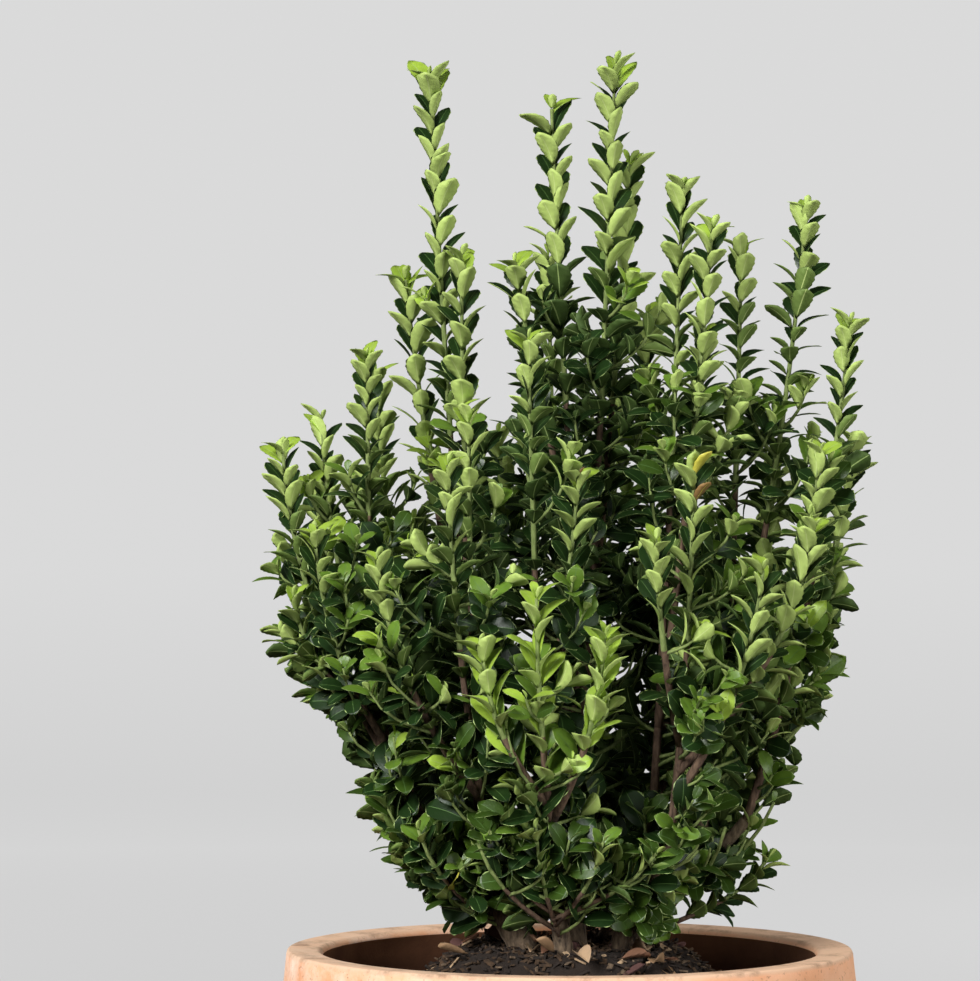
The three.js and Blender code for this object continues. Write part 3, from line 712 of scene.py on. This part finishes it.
class PotSettings(bpy.types.PropertyGroup):
    """Sizes and colours of the terracotta pot."""

    height: length_setting("Height", "Height of the pot", POT_HIGH.z - POT_LOW.z, 0.05, 2)
    belly_radius: length_setting("Belly radius", "Largest outer radius", 0.179, 0.03, 1)
    rim_radius: length_setting("Rim radius", "Outer radius at the rim", 0.174, 0.03, 1)
    foot_radius: length_setting("Foot radius", "Outer radius at the foot", 0.124, 0.03, 1)
    wall: length_setting("Wall", "Thickness of the wall and floor", 0.022, 0.002, 0.1)
    clay: colour_setting("Clay", "Colour of the fired clay", "#EFB48B")
    clay_dark: colour_setting("Fired patches", "Colour where the clay fired darker", "#DB966A")
    bloom: colour_setting("Lime bloom", "Colour of the lime on the clay", "#F8E2CE")
    dust: colour_setting("Dusty rim", "Colour of the dust on the rim's top", "#D8B698")
    # The inner wall's dark colour is partly damp clay and partly painted shade inside the pot.
    inside: colour_setting("Damp inside, painted shade", "Colour of the damp inner wall", "#2A150B")


class SoilSettings(bpy.types.PropertyGroup):
    """Sizes and colours of the soil and what lies on it."""

    chips: bpy.props.IntProperty(
        name="Bark chips", description="Number of chips of bark mulch", default=4200, min=0, max=6000)
    chip_length: length_setting("Chip length", "Mean length of a chip", 0.006, 0.001, 0.05)
    soil: colour_setting("Soil", "Colour of the damp soil's crumbs", "#33251A")
    dry_leaf: colour_setting("Dry leaf", "Colour of a fallen leaf", "#987857")


class CrownSettings(bpy.types.PropertyGroup):
    """Sizes and colours of the twigs and leaves."""

    leaf_length: length_setting("Leaf length", "Mean length of a full-grown leaf", 0.0225, 0.005, 0.1)
    leaf_width: bpy.props.FloatProperty(
        name="Leaf width", description="A leaf's width as a share of its length", default=0.58,
        min=0.1, max=1.0, subtype="FACTOR")
    leaf_spacing: length_setting("Leaf spacing", "Distance between pairs of leaves", 0.01, 0.003, 0.1)
    twig_spacing: length_setting("Twig spacing", "Distance between side twigs", 0.0175, 0.003, 0.1)
    low_spacing: length_setting("Low twig spacing", "Distance between twigs on a bough or stem", 0.01,
                                0.003, 0.1)
    twig_length: length_setting("Twig length", "Mean length of a side twig", 0.075, 0.01, 0.3)
    seed: bpy.props.IntProperty(
        name="Seed", description="Start of the random draws", default=7, min=0, max=9999)
    # The deep green also goes to the leaves deep inside the crown, partly as painted shade.
    deep: colour_setting("Deep green", "Upper side of an old leaf", "#1A3010")
    middle: colour_setting("Middle green", "Upper side of a full-grown leaf", "#324914")
    fresh: colour_setting("Fresh green", "Upper side of a young leaf", "#5A7727")
    lime: colour_setting("Lime green", "Upper side of a leaf at a shoot's tip", "#93AF3E")
    under: colour_setting("Underside", "Underside of a full-grown leaf", "#687E3D")


class StageSettings(bpy.types.PropertyGroup):
    """The camera, the lights and the backdrop."""

    camera_height: length_setting("Camera height", "Height of the level camera", 0.582, 0, 5)
    camera_distance: length_setting("Camera distance", "Distance from the pot's axis", 2.78, 0.5, 20)
    camera_side: length_setting("Camera side", "How far right of the pot's axis it stands", -0.049, -2, 2)
    lens: bpy.props.FloatProperty(
        name="Lens", description="Focal length", default=165.4, min=10, max=500, unit="CAMERA")
    key_power: bpy.props.FloatProperty(
        name="Key light", description="Power of the soft light from the upper left", default=160.0,
        min=0, max=2000, unit="POWER")
    backdrop: colour_setting("Backdrop", "Colour of the floor and the backdrop", "#D9D9D9")


# The pot


BELLY_HEIGHT = 222
OUTSIDE_RINGS, INSIDE_RINGS, POT_SIDES = 44, 30, 192
EDGES = {"foot": 4, "outer": 1.8, "inner": 4}  # how far the foot and the rim are rounded
DRAIN = {"holes": 3, "radius": 6, "ring": 48, "sides": 24}
WOBBLE = {"waves": 0.35, "wave": 60, "rings": 0.12, "ring": 3.1, "foot": 30, "least": 20}  # as thrown
GRIT = 1.4286  # the clay's grit, as coarse as it has to be to show


def pot_radius(height, pot):
    """The pot's outer radius at a height, in millimetres, as in its solid."""
    foot, belly, rim = pot.foot_radius / MM, pot.belly_radius / MM, pot.rim_radius / MM
    if height < BELLY_HEIGHT:
        return foot + (belly - foot) * math.sin(math.pi / 2 * height / BELLY_HEIGHT)
    share = (height - BELLY_HEIGHT) / (pot.height / MM - BELLY_HEIGHT)
    return belly + (rim - belly) * share**2


def arc(centre, radius, start, end, count):
    """Points of an arc in the profile, with its angles in degrees."""
    angles = np.radians(np.linspace(start, end, count))
    return [(centre[0] + radius * math.cos(a), centre[1] + radius * math.sin(a)) for a in angles]


def pot_profile(pot):
    """The pot's outline from the middle of its underside, round the rim, to the middle of its floor."""
    height, rim, wall = pot.height / MM, pot.rim_radius / MM, pot.wall / MM
    outside = [(pot_radius(z, pot), z) for z in np.linspace(5, height - 2.4, OUTSIDE_RINGS)]
    inside = [(pot_radius(z, pot) - wall, z) for z in np.linspace(height - 5.5, wall + 3, INSIDE_RINGS)]
    foot, round_foot = pot.foot_radius / MM, EDGES["foot"]
    outer, inner = EDGES["outer"], EDGES["inner"]
    return [
        (0, 0), (1, 0), (foot * 0.5, 0),
        *arc((foot - round_foot, round_foot), round_foot, -90, -10, 5),
        *outside,
        *arc((rim - outer, height - outer), outer, 10, 84, 6),
        (rim - wall / 2, height - 0.4),
        *arc((rim - wall + inner, height - inner - 0.6), inner, 80, 176, 7),
        *inside,
        (foot * 0.5, wall), (1, wall), (0, wall),
    ]


def terracotta(pot):
    """Terracotta, thrown and fired: matt peach clay with darker patches, pale lime bloom, grit and dust.

    The bloom is thick on the left and thin on the right, partly as real bloom and partly as painted light
    on the left, where the key light falls. The top of the rim is dusty, and brown where it was handled.
    """
    material, tree, shader, place = new_material("fired terracotta", pot.clay, 0.86, IOR=1.5)
    parts = add_node(tree, "ShaderNodeSeparateXYZ", None, {"Vector": place})
    # The bloom's share falls from left to right: partly real bloom, partly painted light on the lit left
    # side.
    bloom_and_lit_side = add_node(tree, "ShaderNodeMapRange", None,
                         {"Value": parts.outputs["X"], "From Min": -0.17, "From Max": 0.08,
                          "To Min": 1.0, "To Max": 0.2}).outputs[0]
    rim = add_node(tree, "ShaderNodeMapRange", None,
                   {"Value": parts.outputs["Z"], "From Min": pot.height - 0.0035,
                    "From Max": pot.height - 0.001, "To Max": 0.8}).outputs[0]
    fired = stain(tree, place, pot.clay, pot.clay_dark, 90.91, (0.42, 0.68), 4.0, 0.55)[0]
    bloomed = stain(tree, place, fired, pot.bloom, 38.46, (0.42, 0.7), 8.0, 0.68, where=bloom_and_lit_side)[0]
    flecked = stain(tree, place, bloomed, linear("#8A5A40"), 2.381, (0.62, 0.72), 2.0, most=0.55)[0]
    dusty = add_node(tree, "ShaderNodeMix", {"data_type": "RGBA"}, {0: rim, 6: flecked, 7: pot.dust})
    handled = stain(tree, place, dusty.outputs[2], linear("#8A6A52"), 22, (0.5, 0.68), 9.0, 0.72,
                    where=rim)
    grit = add_node(tree, "ShaderNodeTexNoise", None,
                    {"Vector": place, "Scale": 1 / (GRIT * MM), "Detail": 5.0})
    dress(tree, shader, handled[0], grit.outputs["Fac"], 0.35, 0.6)
    return material


def damp_and_shaded_terracotta(pot):
    """Damp terracotta and painted shade: the inner wall, dark partly as damp clay and partly as painted
    shade inside the pot, paler towards the rim, where it dries and less shade is painted.
    """
    material, tree, shader, place = new_material("damp terracotta, painted shade", pot.inside, 0.9, IOR=1.3)
    height = add_node(tree, "ShaderNodeSeparateXYZ", None, {"Vector": place}).outputs["Z"]
    # Paler spots of clay just below the rim, none further down: partly drying clay, partly less painted
    # shade near the rim.
    dry = add_node(tree, "ShaderNodeMapRange", None,
                   {"Value": height, "From Min": pot.height - 0.04, "From Max": pot.height - 0.003,
                    "To Max": 0.3}).outputs[0]
    colour = stain(tree, place, pot.inside, pot.clay_dark, 40, (0, 1), 6.0, 0.6, where=dry)[0]
    grit = add_node(tree, "ShaderNodeTexNoise", None,
                    {"Vector": place, "Scale": 1 / (GRIT * MM), "Detail": 5.0})
    dress(tree, shader, colour, grit.outputs["Fac"], 0.35, 0.6)
    return material


class EUONYMUS_OT_pot(bpy.types.Operator):
    """Turns the terracotta pot, with its rounded rim and drain holes"""

    bl_idname = "euonymus.make_pot"
    bl_label = "Make Pot"

    def execute(self, context):
        pot = context.scene.euonymus_pot
        points, faces = turned(pot_profile(pot), POT_SIDES)
        for point in points:
            x, y, z = point
            waves, rings = noise.noise(Vector((x, y, z)) / WOBBLE["wave"]), math.sin(z / WOBBLE["ring"])
            wobble = WOBBLE["waves"] * waves + WOBBLE["rings"] * rings
            point[:2] *= 1 + wobble * min(z / WOBBLE["foot"], 1) / max(math.hypot(x, y), WOBBLE["least"])
        # The faces of the inner wall, which take the dark, partly painted-shade clay material.
        first_inner_wall, last_inner_wall = -(INSIDE_RINGS + 2) * POT_SIDES, -2 * POT_SIDES
        slots = np.zeros(len(faces), int)
        slots[first_inner_wall:last_inner_wall] = 1
        skins = [terracotta(pot), damp_and_shaded_terracotta(pot)]
        piece = make_piece("pot_terracotta", points, faces, skins, slots)
        drill_holes(piece, depth=3 * pot.wall / MM)
        finish_piece(piece, "terracotta", "pot")
        return {"FINISHED"}


def drill_holes(piece, depth):
    """Cuts the drain holes through the pot's floor."""
    drills = Shape()
    for number in range(DRAIN["holes"]):
        turn = 2 * math.pi * number / DRAIN["holes"]
        x, y = DRAIN["ring"] * math.cos(turn), DRAIN["ring"] * math.sin(turn)
        line = np.array([(x, y, -depth / 2), (x, y, 0.0), (x, y, depth / 2)])
        drills.add(*tube(line, [DRAIN["radius"]] * 3, DRAIN["sides"]))
    drill = drills.piece("drill", [])
    cut = piece.modifiers.new("drain holes", "BOOLEAN")
    cut.object = drill
    cut.solver = "EXACT"
    cut.operation = "DIFFERENCE"
    bpy.context.view_layer.objects.active = piece
    bpy.ops.object.modifier_apply(modifier=cut.name)
    bpy.data.objects.remove(drill)


# The soil


MOUND = {"top_radius": 60, "edge": 256, "edge_radius": 108, "sunk": 2.0}
LUMPS = ((3.6, 16, 3.7), (1.3, 5, 9.1))  # how high each kind is, how wide, and its layer of the noise
SOIL_RINGS, SOIL_SIDES = 44, 96
SOIL_FIT = {"wall": 0.8, "floor": 0.5, "edge": 254}  # its gaps to the pot, and its edge's height
CHIP = {"most_radius": 146, "lengths": (0.35, 1.6), "widths": (0.25, 0.6), "thick": (0.7, 1.8),
        "broken": (0.6, 1.1), "tilt": 0.45, "lift": 1.6, "shares": (0.45, 0.36, 0.15, 0.04)}
FALLEN = ((-34, -18, 1), (-10, -66, 0), (3, -70, 2), (-5, -44, 3), (66, -58, 0), (56, -50, 1),
          (-62, -40, 0), (30, -66, 1))  # where fallen leaves show, and the tone of each
MORE_FALLEN = {"count": 22, "radii": (20, 92), "lengths": (13, 20), "curls": (-0.5, 0.5),
               "folds": (0.5, 1.3), "lift": 3.2, "width": 0.56}


def soil_height(x, y):
    """The height of the soil's top, in millimetres: a mound in the middle of the pot."""
    reach = MOUND["edge_radius"] - MOUND["top_radius"]
    share = np.clip((MOUND["edge_radius"] - math.hypot(x, y)) / reach, 0, 1)
    mound = MOUND["edge"] + (SOIL_TOP - MOUND["edge"]) * math.sin(math.pi / 2 * share)
    lumps = sum(high * noise.noise(Vector((x, y, layer)) / wide) for high, wide, layer in LUMPS)
    return mound - MOUND["sunk"] + lumps


def damp_soil(soil):
    """Damp potting soil: a dark, crumbly mix with no shine, paler where its crumbs stand up."""
    material, tree, shader, place = new_material("damp potting soil", soil.soil, 0.95)
    colour, crumbs = stain(tree, place, linear("#120C08"), soil.soil, 3, (0, 1), 8.0, 0.7)
    dress(tree, shader, colour, crumbs, 0.9, 3)
    return material


class EUONYMUS_OT_soil(bpy.types.Operator):
    """Fills the pot with soil, and lays bark mulch and fallen leaves on it"""

    bl_idname = "euonymus.make_soil"
    bl_label = "Make Soil"

    def execute(self, context):
        pot, soil = context.scene.euonymus_pot, context.scene.euonymus_soil
        wall, floor = pot.wall / MM + SOIL_FIT["wall"], pot.wall / MM + SOIL_FIT["floor"]
        edge = SOIL_FIT["edge"]
        side = [(pot_radius(z, pot) - wall, z) for z in np.linspace(floor + 3, edge, 12)]
        last = side[-1][0]
        top = [(r, edge) for r in np.linspace(last - 2, 1.5, SOIL_RINGS)]
        points, faces = turned([(0, floor), (2, floor), *side, *top, (0, edge)], SOIL_SIDES)
        for point in points[-SOIL_RINGS * SOIL_SIDES :]:
            point[2] = soil_height(point[0], point[1])
        piece = make_piece("soil_mound", points, faces, [damp_soil(soil)])
        finish_piece(piece, "soil", "soil")
        self.lay_chips(soil)
        self.lay_dry_leaves(soil)
        return {"FINISHED"}

    def lay_chips(self, soil):
        """Bark mulch: flat, broken chips of old bark, from nearly black to tan."""
        rng = np.random.default_rng(11)
        chips = Shape()
        corners = np.array([(x, y, z) for x in (-1, 1) for y in (-1, 1) for z in (-1, 1)], float)
        sides = [(0, 1, 3, 2), (4, 6, 7, 5), (0, 4, 5, 1), (2, 3, 7, 6), (0, 2, 6, 4), (1, 5, 7, 3)]
        for _ in range(soil.chips):
            radius = CHIP["most_radius"] * math.sqrt(rng.uniform(0, 1))
            turn = rng.uniform(0, 2 * math.pi)
            x, y = radius * math.cos(turn), radius * math.sin(turn)
            length = soil.chip_length / MM * rng.uniform(*CHIP["lengths"])
            width = length * rng.uniform(*CHIP["widths"])
            size = np.array([length, width, rng.uniform(*CHIP["thick"])]) / 2
            shape = corners * size * rng.uniform(*CHIP["broken"], (8, 3))
            yaw, tilt = rng.uniform(0, 2 * math.pi), rng.normal(0, CHIP["tilt"])
            level = math.cos(tilt)
            along = np.array([math.cos(yaw) * level, math.sin(yaw) * level, math.sin(tilt)])
            across = unit(np.cross((0, 0, 1), along) + rng.normal(0, 0.2, 3))
            axes = np.array([along, across, np.cross(along, across)])
            place = np.array([x, y, soil_height(x, y) + rng.uniform(0, CHIP["lift"])])
            chips.add(place + shape @ axes, sides, int(rng.choice(4, p=CHIP["shares"])))
        grains = (("old bark chip", "#18110C", "#2E2219"), ("bark chip", "#2C2014", "#553F2A"),
                  ("fresh bark chip", "#473828", "#776450"), ("pale wood chip", "#8A7054", "#C2A684"))
        materials = [fissured_bark(name, linear(dark), linear(pale)) for name, dark, pale in grains]
        piece = chips.piece("bark_mulch", materials, smooth=False)
        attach(piece, BODY)

    def lay_dry_leaves(self, soil):
        """Fallen leaves: dry, curled and tan to purple-brown, where they lie on the mound."""
        rng = np.random.default_rng(5)
        count = MORE_FALLEN["count"]
        draws = zip(rng.uniform(*MORE_FALLEN["radii"], count), rng.uniform(0, 6.28, count),
                    rng.integers(0, 4, count))
        others = [(r * math.cos(turn), r * math.sin(turn), int(tone)) for r, turn, tone in draws]
        leaves = []
        for x, y, tone in [*FALLEN, *others]:
            yaw = rng.uniform(0, 2 * math.pi)
            along = unit(np.array([math.cos(yaw), math.sin(yaw), rng.normal(0, 0.15)]))
            face = unit(np.array([0, 0, 1.0]) + rng.normal(0, 0.3, 3))
            face = unit(face - along * np.dot(along, face))
            root = np.array([x, y, soil_height(x, y) + MORE_FALLEN["lift"]])
            length, curl = rng.uniform(*MORE_FALLEN["lengths"]), rng.uniform(*MORE_FALLEN["curls"])
            leaves.append((root, along, face, length, tone, curl, rng.uniform(*MORE_FALLEN["folds"])))
        names = (("dry leaf, tan", soil.dry_leaf), ("dry leaf, brown", linear("#7A5640")),
                 ("dry leaf, pale", linear("#A88D6F")), ("dry leaf, purple-brown", linear("#5E3F3A")))
        materials = [leaf_skin(name, colour, 0.75) for name, colour in names]
        slots = {tone: [tone] * 5 for tone in range(4)}
        piece = join_leaves("dry_leaves", leaves, materials, slots, MORE_FALLEN["width"])
        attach(piece, BODY)


# The stems and boughs


def fissured_bark(name, furrow, ridge):
    """Bark: finely fissured along the limb and dull, grey-brown on old wood and grey-green on young."""
    material, tree, shader, place = new_material(name, ridge, 0.9)
    grain = add_node(tree, "ShaderNodeMapping", None, {"Vector": place, "Scale": (1.0, 1.0, 0.28)})
    colour, streaks = stain(tree, grain.outputs[0], furrow, ridge, 2.381, (0.32, 0.7), 6.0, 0.6)
    dress(tree, shader, colour, streaks, 0.8, 1.2)
    return material


RIDGES = {"round": 3.2, "along": 9, "shift": 0.004, "knob": 22, "knobs": 0.8}  # of the bark


def barked(curve, radius_at, shape):
    """A limb with its bark's relief: ridges that run along it and break up."""
    ways, line = curve.line(shape["rings"])
    turns, relief = turns_round(shape["sides"]), shape["relief"]
    radii = []
    for way, centre in zip(ways, line):
        row = []
        for turn in turns:
            x, y = math.cos(turn), math.sin(turn)
            spot = Vector((x * RIDGES["round"], y * RIDGES["round"], way / RIDGES["along"]))
            ridge = 1 - 2 * abs(noise.noise(spot + Vector(centre) * RIDGES["shift"]))
            knob = noise.noise(Vector((x, y, way / RIDGES["knob"])) + Vector(centre))
            row.append(radius_at(way / curve.length) + relief * ridge + RIDGES["knobs"] * relief * knob)
        radii.append(row)
    return tube(line, radii, shape["sides"])


def stem_radius(thick, share):
    """A stem's radius at a share of its length: it flares at the foot and thins upwards."""
    flare = STEM_SHAPE["flare"] * math.exp(-STEM_SHAPE["fade"] * share)
    return thick / 2 * (1 + flare - STEM_SHAPE["taper"] * share)


def bough_radius(thick, share):
    """A bough's radius at a share of its length, from the thickness of the stem that it leaves."""
    start = thick / 2 * BOUGH_SHAPE["share"]
    return start + (BOUGH_SHAPE["end"] - start) * share


class EUONYMUS_OT_limbs(bpy.types.Operator):
    """Makes the stems and the boughs, with the relief of their bark"""

    bl_idname = "euonymus.make_limbs"
    bl_label = "Make Stems and Boughs"

    def execute(self, context):
        old_bark = fissured_bark("fissured old bark", linear("#2F251B"), linear("#7E6B55"))
        young_bark = fissured_bark("smooth young bark", linear("#44382A"), linear("#7F6E56"))
        stems = {name: stem[2] for name, stem in STEMS.items()}
        boughs = {name: stems[mass[0]] for name, mass in MASSES.items() if mass[2]}
        self.join_limbs("stem", stems, stem_curve, stem_radius, STEM_SHAPE, old_bark)
        self.join_limbs("bough", boughs, bough_curve, bough_radius, BOUGH_SHAPE, young_bark)
        return {"FINISHED"}

    def join_limbs(self, kind, limbs, curve_of, radius_of, shape, bark):
        """Joins the limbs of one kind into a piece. limbs gives the thickness behind each name."""
        joined = Shape()
        for name, thick in limbs.items():
            joined.add(*barked(curve_of(name), lambda share: radius_of(thick, share), shape))
        piece = joined.piece(f"{kind}s_bark", [bark])
        finish_piece(piece, "bark", *[f"{kind}_{name}" for name in limbs])


# The crown


def leaf_skin(name, colour, roughness, **sockets):
    """A leaf's skin: faintly mottled from leaf to leaf and within a leaf, over a fine net of veins."""
    material, tree, shader, place = new_material(name, colour, roughness, **sockets)
    darker, paler = ((*[part * factor for part in tuple(colour)[:3]], 1.0) for factor in (0.74, 1.26))
    mottled = stain(tree, place, darker, paler, 30, (0.3, 0.7), 5.0, 0.7)[0]
    veins = add_node(tree, "ShaderNodeTexVoronoi", None, {"Vector": place, "Scale": 1 / (1.6 * MM)})
    dress(tree, shader, mottled, veins.outputs["Distance"], 0.4, 0.2)
    return material


def leaf_materials(crown):
    """The leaf's materials, and the slots of each tone by kind of face.

    The upper side is a waxed cuticle: dark, smooth and glossy. The underside has no wax, so it is pale
    and dull. The margin and the rib are thick and pale.
    """
    upper = {"IOR": 1.38, "Coat_Weight": 0.1, "Coat_Roughness": 0.34}
    materials = [
        leaf_skin("leaf margin, thick", linear("#98AD69"), 0.5),
        leaf_skin("leaf rib, pale", linear("#4F6E38"), 0.5),
        leaf_skin("leaf, waxed lime", crown.lime, 0.42, **upper),
        leaf_skin("leaf, waxed fresh green", crown.fresh, 0.38, **upper),
        leaf_skin("leaf, waxed middle green", crown.middle, 0.4, **upper),
        leaf_skin("leaf, waxed deep green", crown.deep, 0.42, **upper),
        leaf_skin("leaf, yellowed", linear("#C9C24E"), 0.45),
        leaf_skin("leaf underside, young", linear("#A9BE68"), 0.66, IOR=1.35),
        leaf_skin("leaf underside, dull", crown.under, 0.66, IOR=1.35),
        leaf_skin("leaf underside, old and painted shade", linear("#425727"), 0.66, IOR=1.35),
        leaf_skin("leaf, browned", linear("#8A6A3C"), 0.7),
        leaf_skin("leaf keel, pale", linear("#B9C97E"), 0.55),
    ]
    margin, rib, lime, fresh, middle, deep, yellow, young_under, under, deep_tone_under, brown, keel = (
        range(len(materials)))
    slots = {
        0: (margin, lime, margin, young_under, keel),
        1: (margin, fresh, rib, young_under, keel),
        2: (margin, middle, rib, under, keel),
        # Tone 3 is for old leaves, and for the inner leaves, where it is partly painted shade.
        3: (margin, deep, rib, deep_tone_under, margin),
        4: (yellow, yellow, yellow, yellow, yellow),
        5: (brown, brown, yellow, brown, yellow),
        6: (margin, deep, rib, young_under, keel),
        7: (margin, deep, rib, under, keel),
    }
    return materials, slots


def twig_bark():
    """Twig bark: green and smooth while young, grey-brown further down."""
    return [
        fissured_bark("green twig bark", linear("#5A6A34"), linear("#8D9D5C")),
        fissured_bark("grey twig bark", linear("#3B2A20"), linear("#7C6450")),
    ]


class EUONYMUS_OT_crown(bpy.types.Operator):
    """Grows the twigs and leaves of the crown on from the boughs"""

    bl_idname = "euonymus.grow_crown"
    bl_label = "Grow Crown"

    def execute(self, context):
        settings = context.scene.euonymus_crown
        crown = Crown(settings)
        for number, name in enumerate(MASSES):
            crown.grow_mass(name, settings.seed * 100 + number)
        crown.age_leaves()
        materials, slots = leaf_materials(settings)
        for piece_name, masses in PIECES.items():
            leaves = [leaf for name in masses for leaf in crown.leaves[name]]
            if not leaves:
                raise RuntimeError(f"{piece_name} has no leaves")
            piece = join_leaves(piece_name, leaves, materials, slots, settings.leaf_width)
            finish_piece(piece, "foliage", *[f"leaves_{name}" for name in masses])
            print(piece_name, len(leaves), "leaves")
        self.make_twigs(crown.twigs)
        return {"FINISHED"}

    def make_twigs(self, twigs):
        """Joins the shoots and side twigs, each tapering to its tip."""
        shape = Shape()
        for curve, start, end in twigs:
            rings = max(TWIG["fewest"], int(curve.length / TWIG["ring_gap"]))
            ways, line = curve.line(rings)
            points, faces = tube(line, np.linspace(start, end, rings), TWIG["sides"])
            last_old = TWIG["old_share"] * curve.length if start > TWIG["old_radius"] else 0
            old = [int(way < last_old) for way in ways[:-1] for _ in range(TWIG["sides"])]
            shape.add(points, faces, [*old, 0, 0])
        piece = shape.piece("twigs", twig_bark())
        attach(piece, BODY)


# The stage


# Each light's place in metres, its share of the key light's power, and its size.

LIGHTS = {
    "key light": ((-1.7, -2.5, 2.0), 1, 1.2),
    "right light": ((2.7, -1.9, 1.2), 0.29, 1.6),
    "low front light": ((1.0, -2.6, 0.45), 0.11, 0.8),
    "back right light": ((2.2, 2.4, 1.8), 0.5, 3.2),
    "back left light": ((-2.6, 1.8, 1.6), 0.4, 3.0),
}
LIT = (0, 0, 0.5)  # what the lights face


class EUONYMUS_OT_stage(bpy.types.Operator):
    """Sets the floor, the backdrop, the soft lights and the camera"""

    bl_idname = "euonymus.set_stage"
    bl_label = "Set Stage"

    def execute(self, context):
        stage = context.scene.euonymus_stage
        self.make_backdrop(stage)
        for name, (place, share, size) in LIGHTS.items():
            self.make_light(name, place, stage.key_power * share, size)
        world = bpy.data.worlds.new("soft room")
        world.use_nodes = True
        world.node_tree.nodes["Background"].inputs["Color"].default_value = linear("#E8E8E8")
        world.node_tree.nodes["Background"].inputs["Strength"].default_value = 0.03
        context.scene.world = world
        context.scene.view_settings.view_transform = "Standard"
        camera = bpy.data.objects.new("camera", bpy.data.cameras.new("camera"))
        camera.location = (stage.camera_side, -stage.camera_distance, stage.camera_height)
        camera.rotation_euler = (math.pi / 2, 0, 0)
        camera.data.lens = stage.lens
        camera.data.sensor_width = 36
        context.scene.collection.objects.link(camera)
        context.scene.camera = camera
        return {"FINISHED"}

    def make_backdrop(self, stage):
        """A round floor that turns up into a wall far from the plant on all sides."""
        floor, bend, wall = 6000, 2500, 7000
        level = [(r, -1) for r in (0, 20, *np.linspace(500, floor - 250, 12))]
        upright = [(floor + bend, wall), (floor + bend, wall + 1)]
        points, faces = turned([*level, *arc((floor, bend - 1), bend, -90, 0, 24), *upright], 96)
        material, tree, shader, place = new_material("painted backdrop", linear("#707070"), 0.95)
        far = add_node(tree, "ShaderNodeVectorMath", {"operation": "LENGTH"}, {0: place}).outputs["Value"]
        height = add_node(tree, "ShaderNodeSeparateXYZ", None, {"Vector": place}).outputs["Z"]
        wall_glow = add_node(tree, "ShaderNodeMapRange", None,
                             {"Value": height, "From Min": 0.0, "From Max": 0.4,
                              "To Min": 0.9, "To Max": 0.97})
        floor_share = add_node(tree, "ShaderNodeMapRange", None,
                               {"Value": far, "From Min": 0.5, "From Max": 4.6, "To Min": 0.56})
        glow = add_node(tree, "ShaderNodeMath", {"operation": "MULTIPLY"},
                        {0: wall_glow.outputs[0], 1: floor_share.outputs[0]})
        shader.inputs["Emission Color"].default_value = tuple(stage.backdrop)
        tree.links.new(glow.outputs[0], shader.inputs["Emission Strength"])
        backdrop = make_piece("backdrop", points, faces[:-1], [material])
        backdrop.visible_diffuse = False
        backdrop.visible_glossy = False
        backdrop.visible_shadow = False

    def make_light(self, name, place, power, size):
        """A square soft light that faces the middle of the crown. The front lights alone are mirrored."""
        light = bpy.data.lights.new(name, "AREA")
        light.energy = power
        light.size = size
        lamp = bpy.data.objects.new(name, light)
        lamp.location = place
        lamp.visible_camera = False
        lamp.visible_glossy = place[1] < 0
        facing = Vector(LIT) - Vector(place)
        lamp.rotation_euler = facing.to_track_quat("-Z", "Y").to_euler()
        bpy.context.scene.collection.objects.link(lamp)


# The add-on


class EUONYMUS_PT_sidebar(bpy.types.Panel):
    """Lists the steps that build the potted euonymus"""

    bl_idname = "EUONYMUS_PT_sidebar"
    bl_label = "Potted Euonymus"
    bl_space_type = "VIEW_3D"
    bl_region_type = "UI"
    bl_category = "Euonymus"

    def draw(self, context):
        for operator in OPERATORS:
            self.layout.operator(operator.bl_idname)
        for settings in SETTINGS:
            group = getattr(context.scene, settings)
            for name in group.bl_rna.properties.keys():
                if name not in {"rna_type", "name"}:
                    self.layout.prop(group, name)


SETTINGS = {
    "euonymus_pot": PotSettings,
    "euonymus_soil": SoilSettings,
    "euonymus_crown": CrownSettings,
    "euonymus_stage": StageSettings,
}
OPERATORS = (EUONYMUS_OT_pot, EUONYMUS_OT_soil, EUONYMUS_OT_limbs, EUONYMUS_OT_crown, EUONYMUS_OT_stage)


def register():
    for cls in (*SETTINGS.values(), *OPERATORS, EUONYMUS_PT_sidebar):
        bpy.utils.register_class(cls)
    for name, cls in SETTINGS.items():
        setattr(bpy.types.Scene, name, bpy.props.PointerProperty(type=cls))


def unregister():
    for name in SETTINGS:
        delattr(bpy.types.Scene, name)
    for cls in (EUONYMUS_PT_sidebar, *OPERATORS[::-1], *list(SETTINGS.values())[::-1]):
        bpy.utils.unregister_class(cls)


def main():
    """Builds every piece in order."""
    register()
    bpy.ops.euonymus.make_pot()
    bpy.ops.euonymus.make_soil()
    bpy.ops.euonymus.make_limbs()
    bpy.ops.euonymus.grow_crown()
    bpy.ops.euonymus.set_stage()
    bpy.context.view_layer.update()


if __name__ == "__main__":
    main()
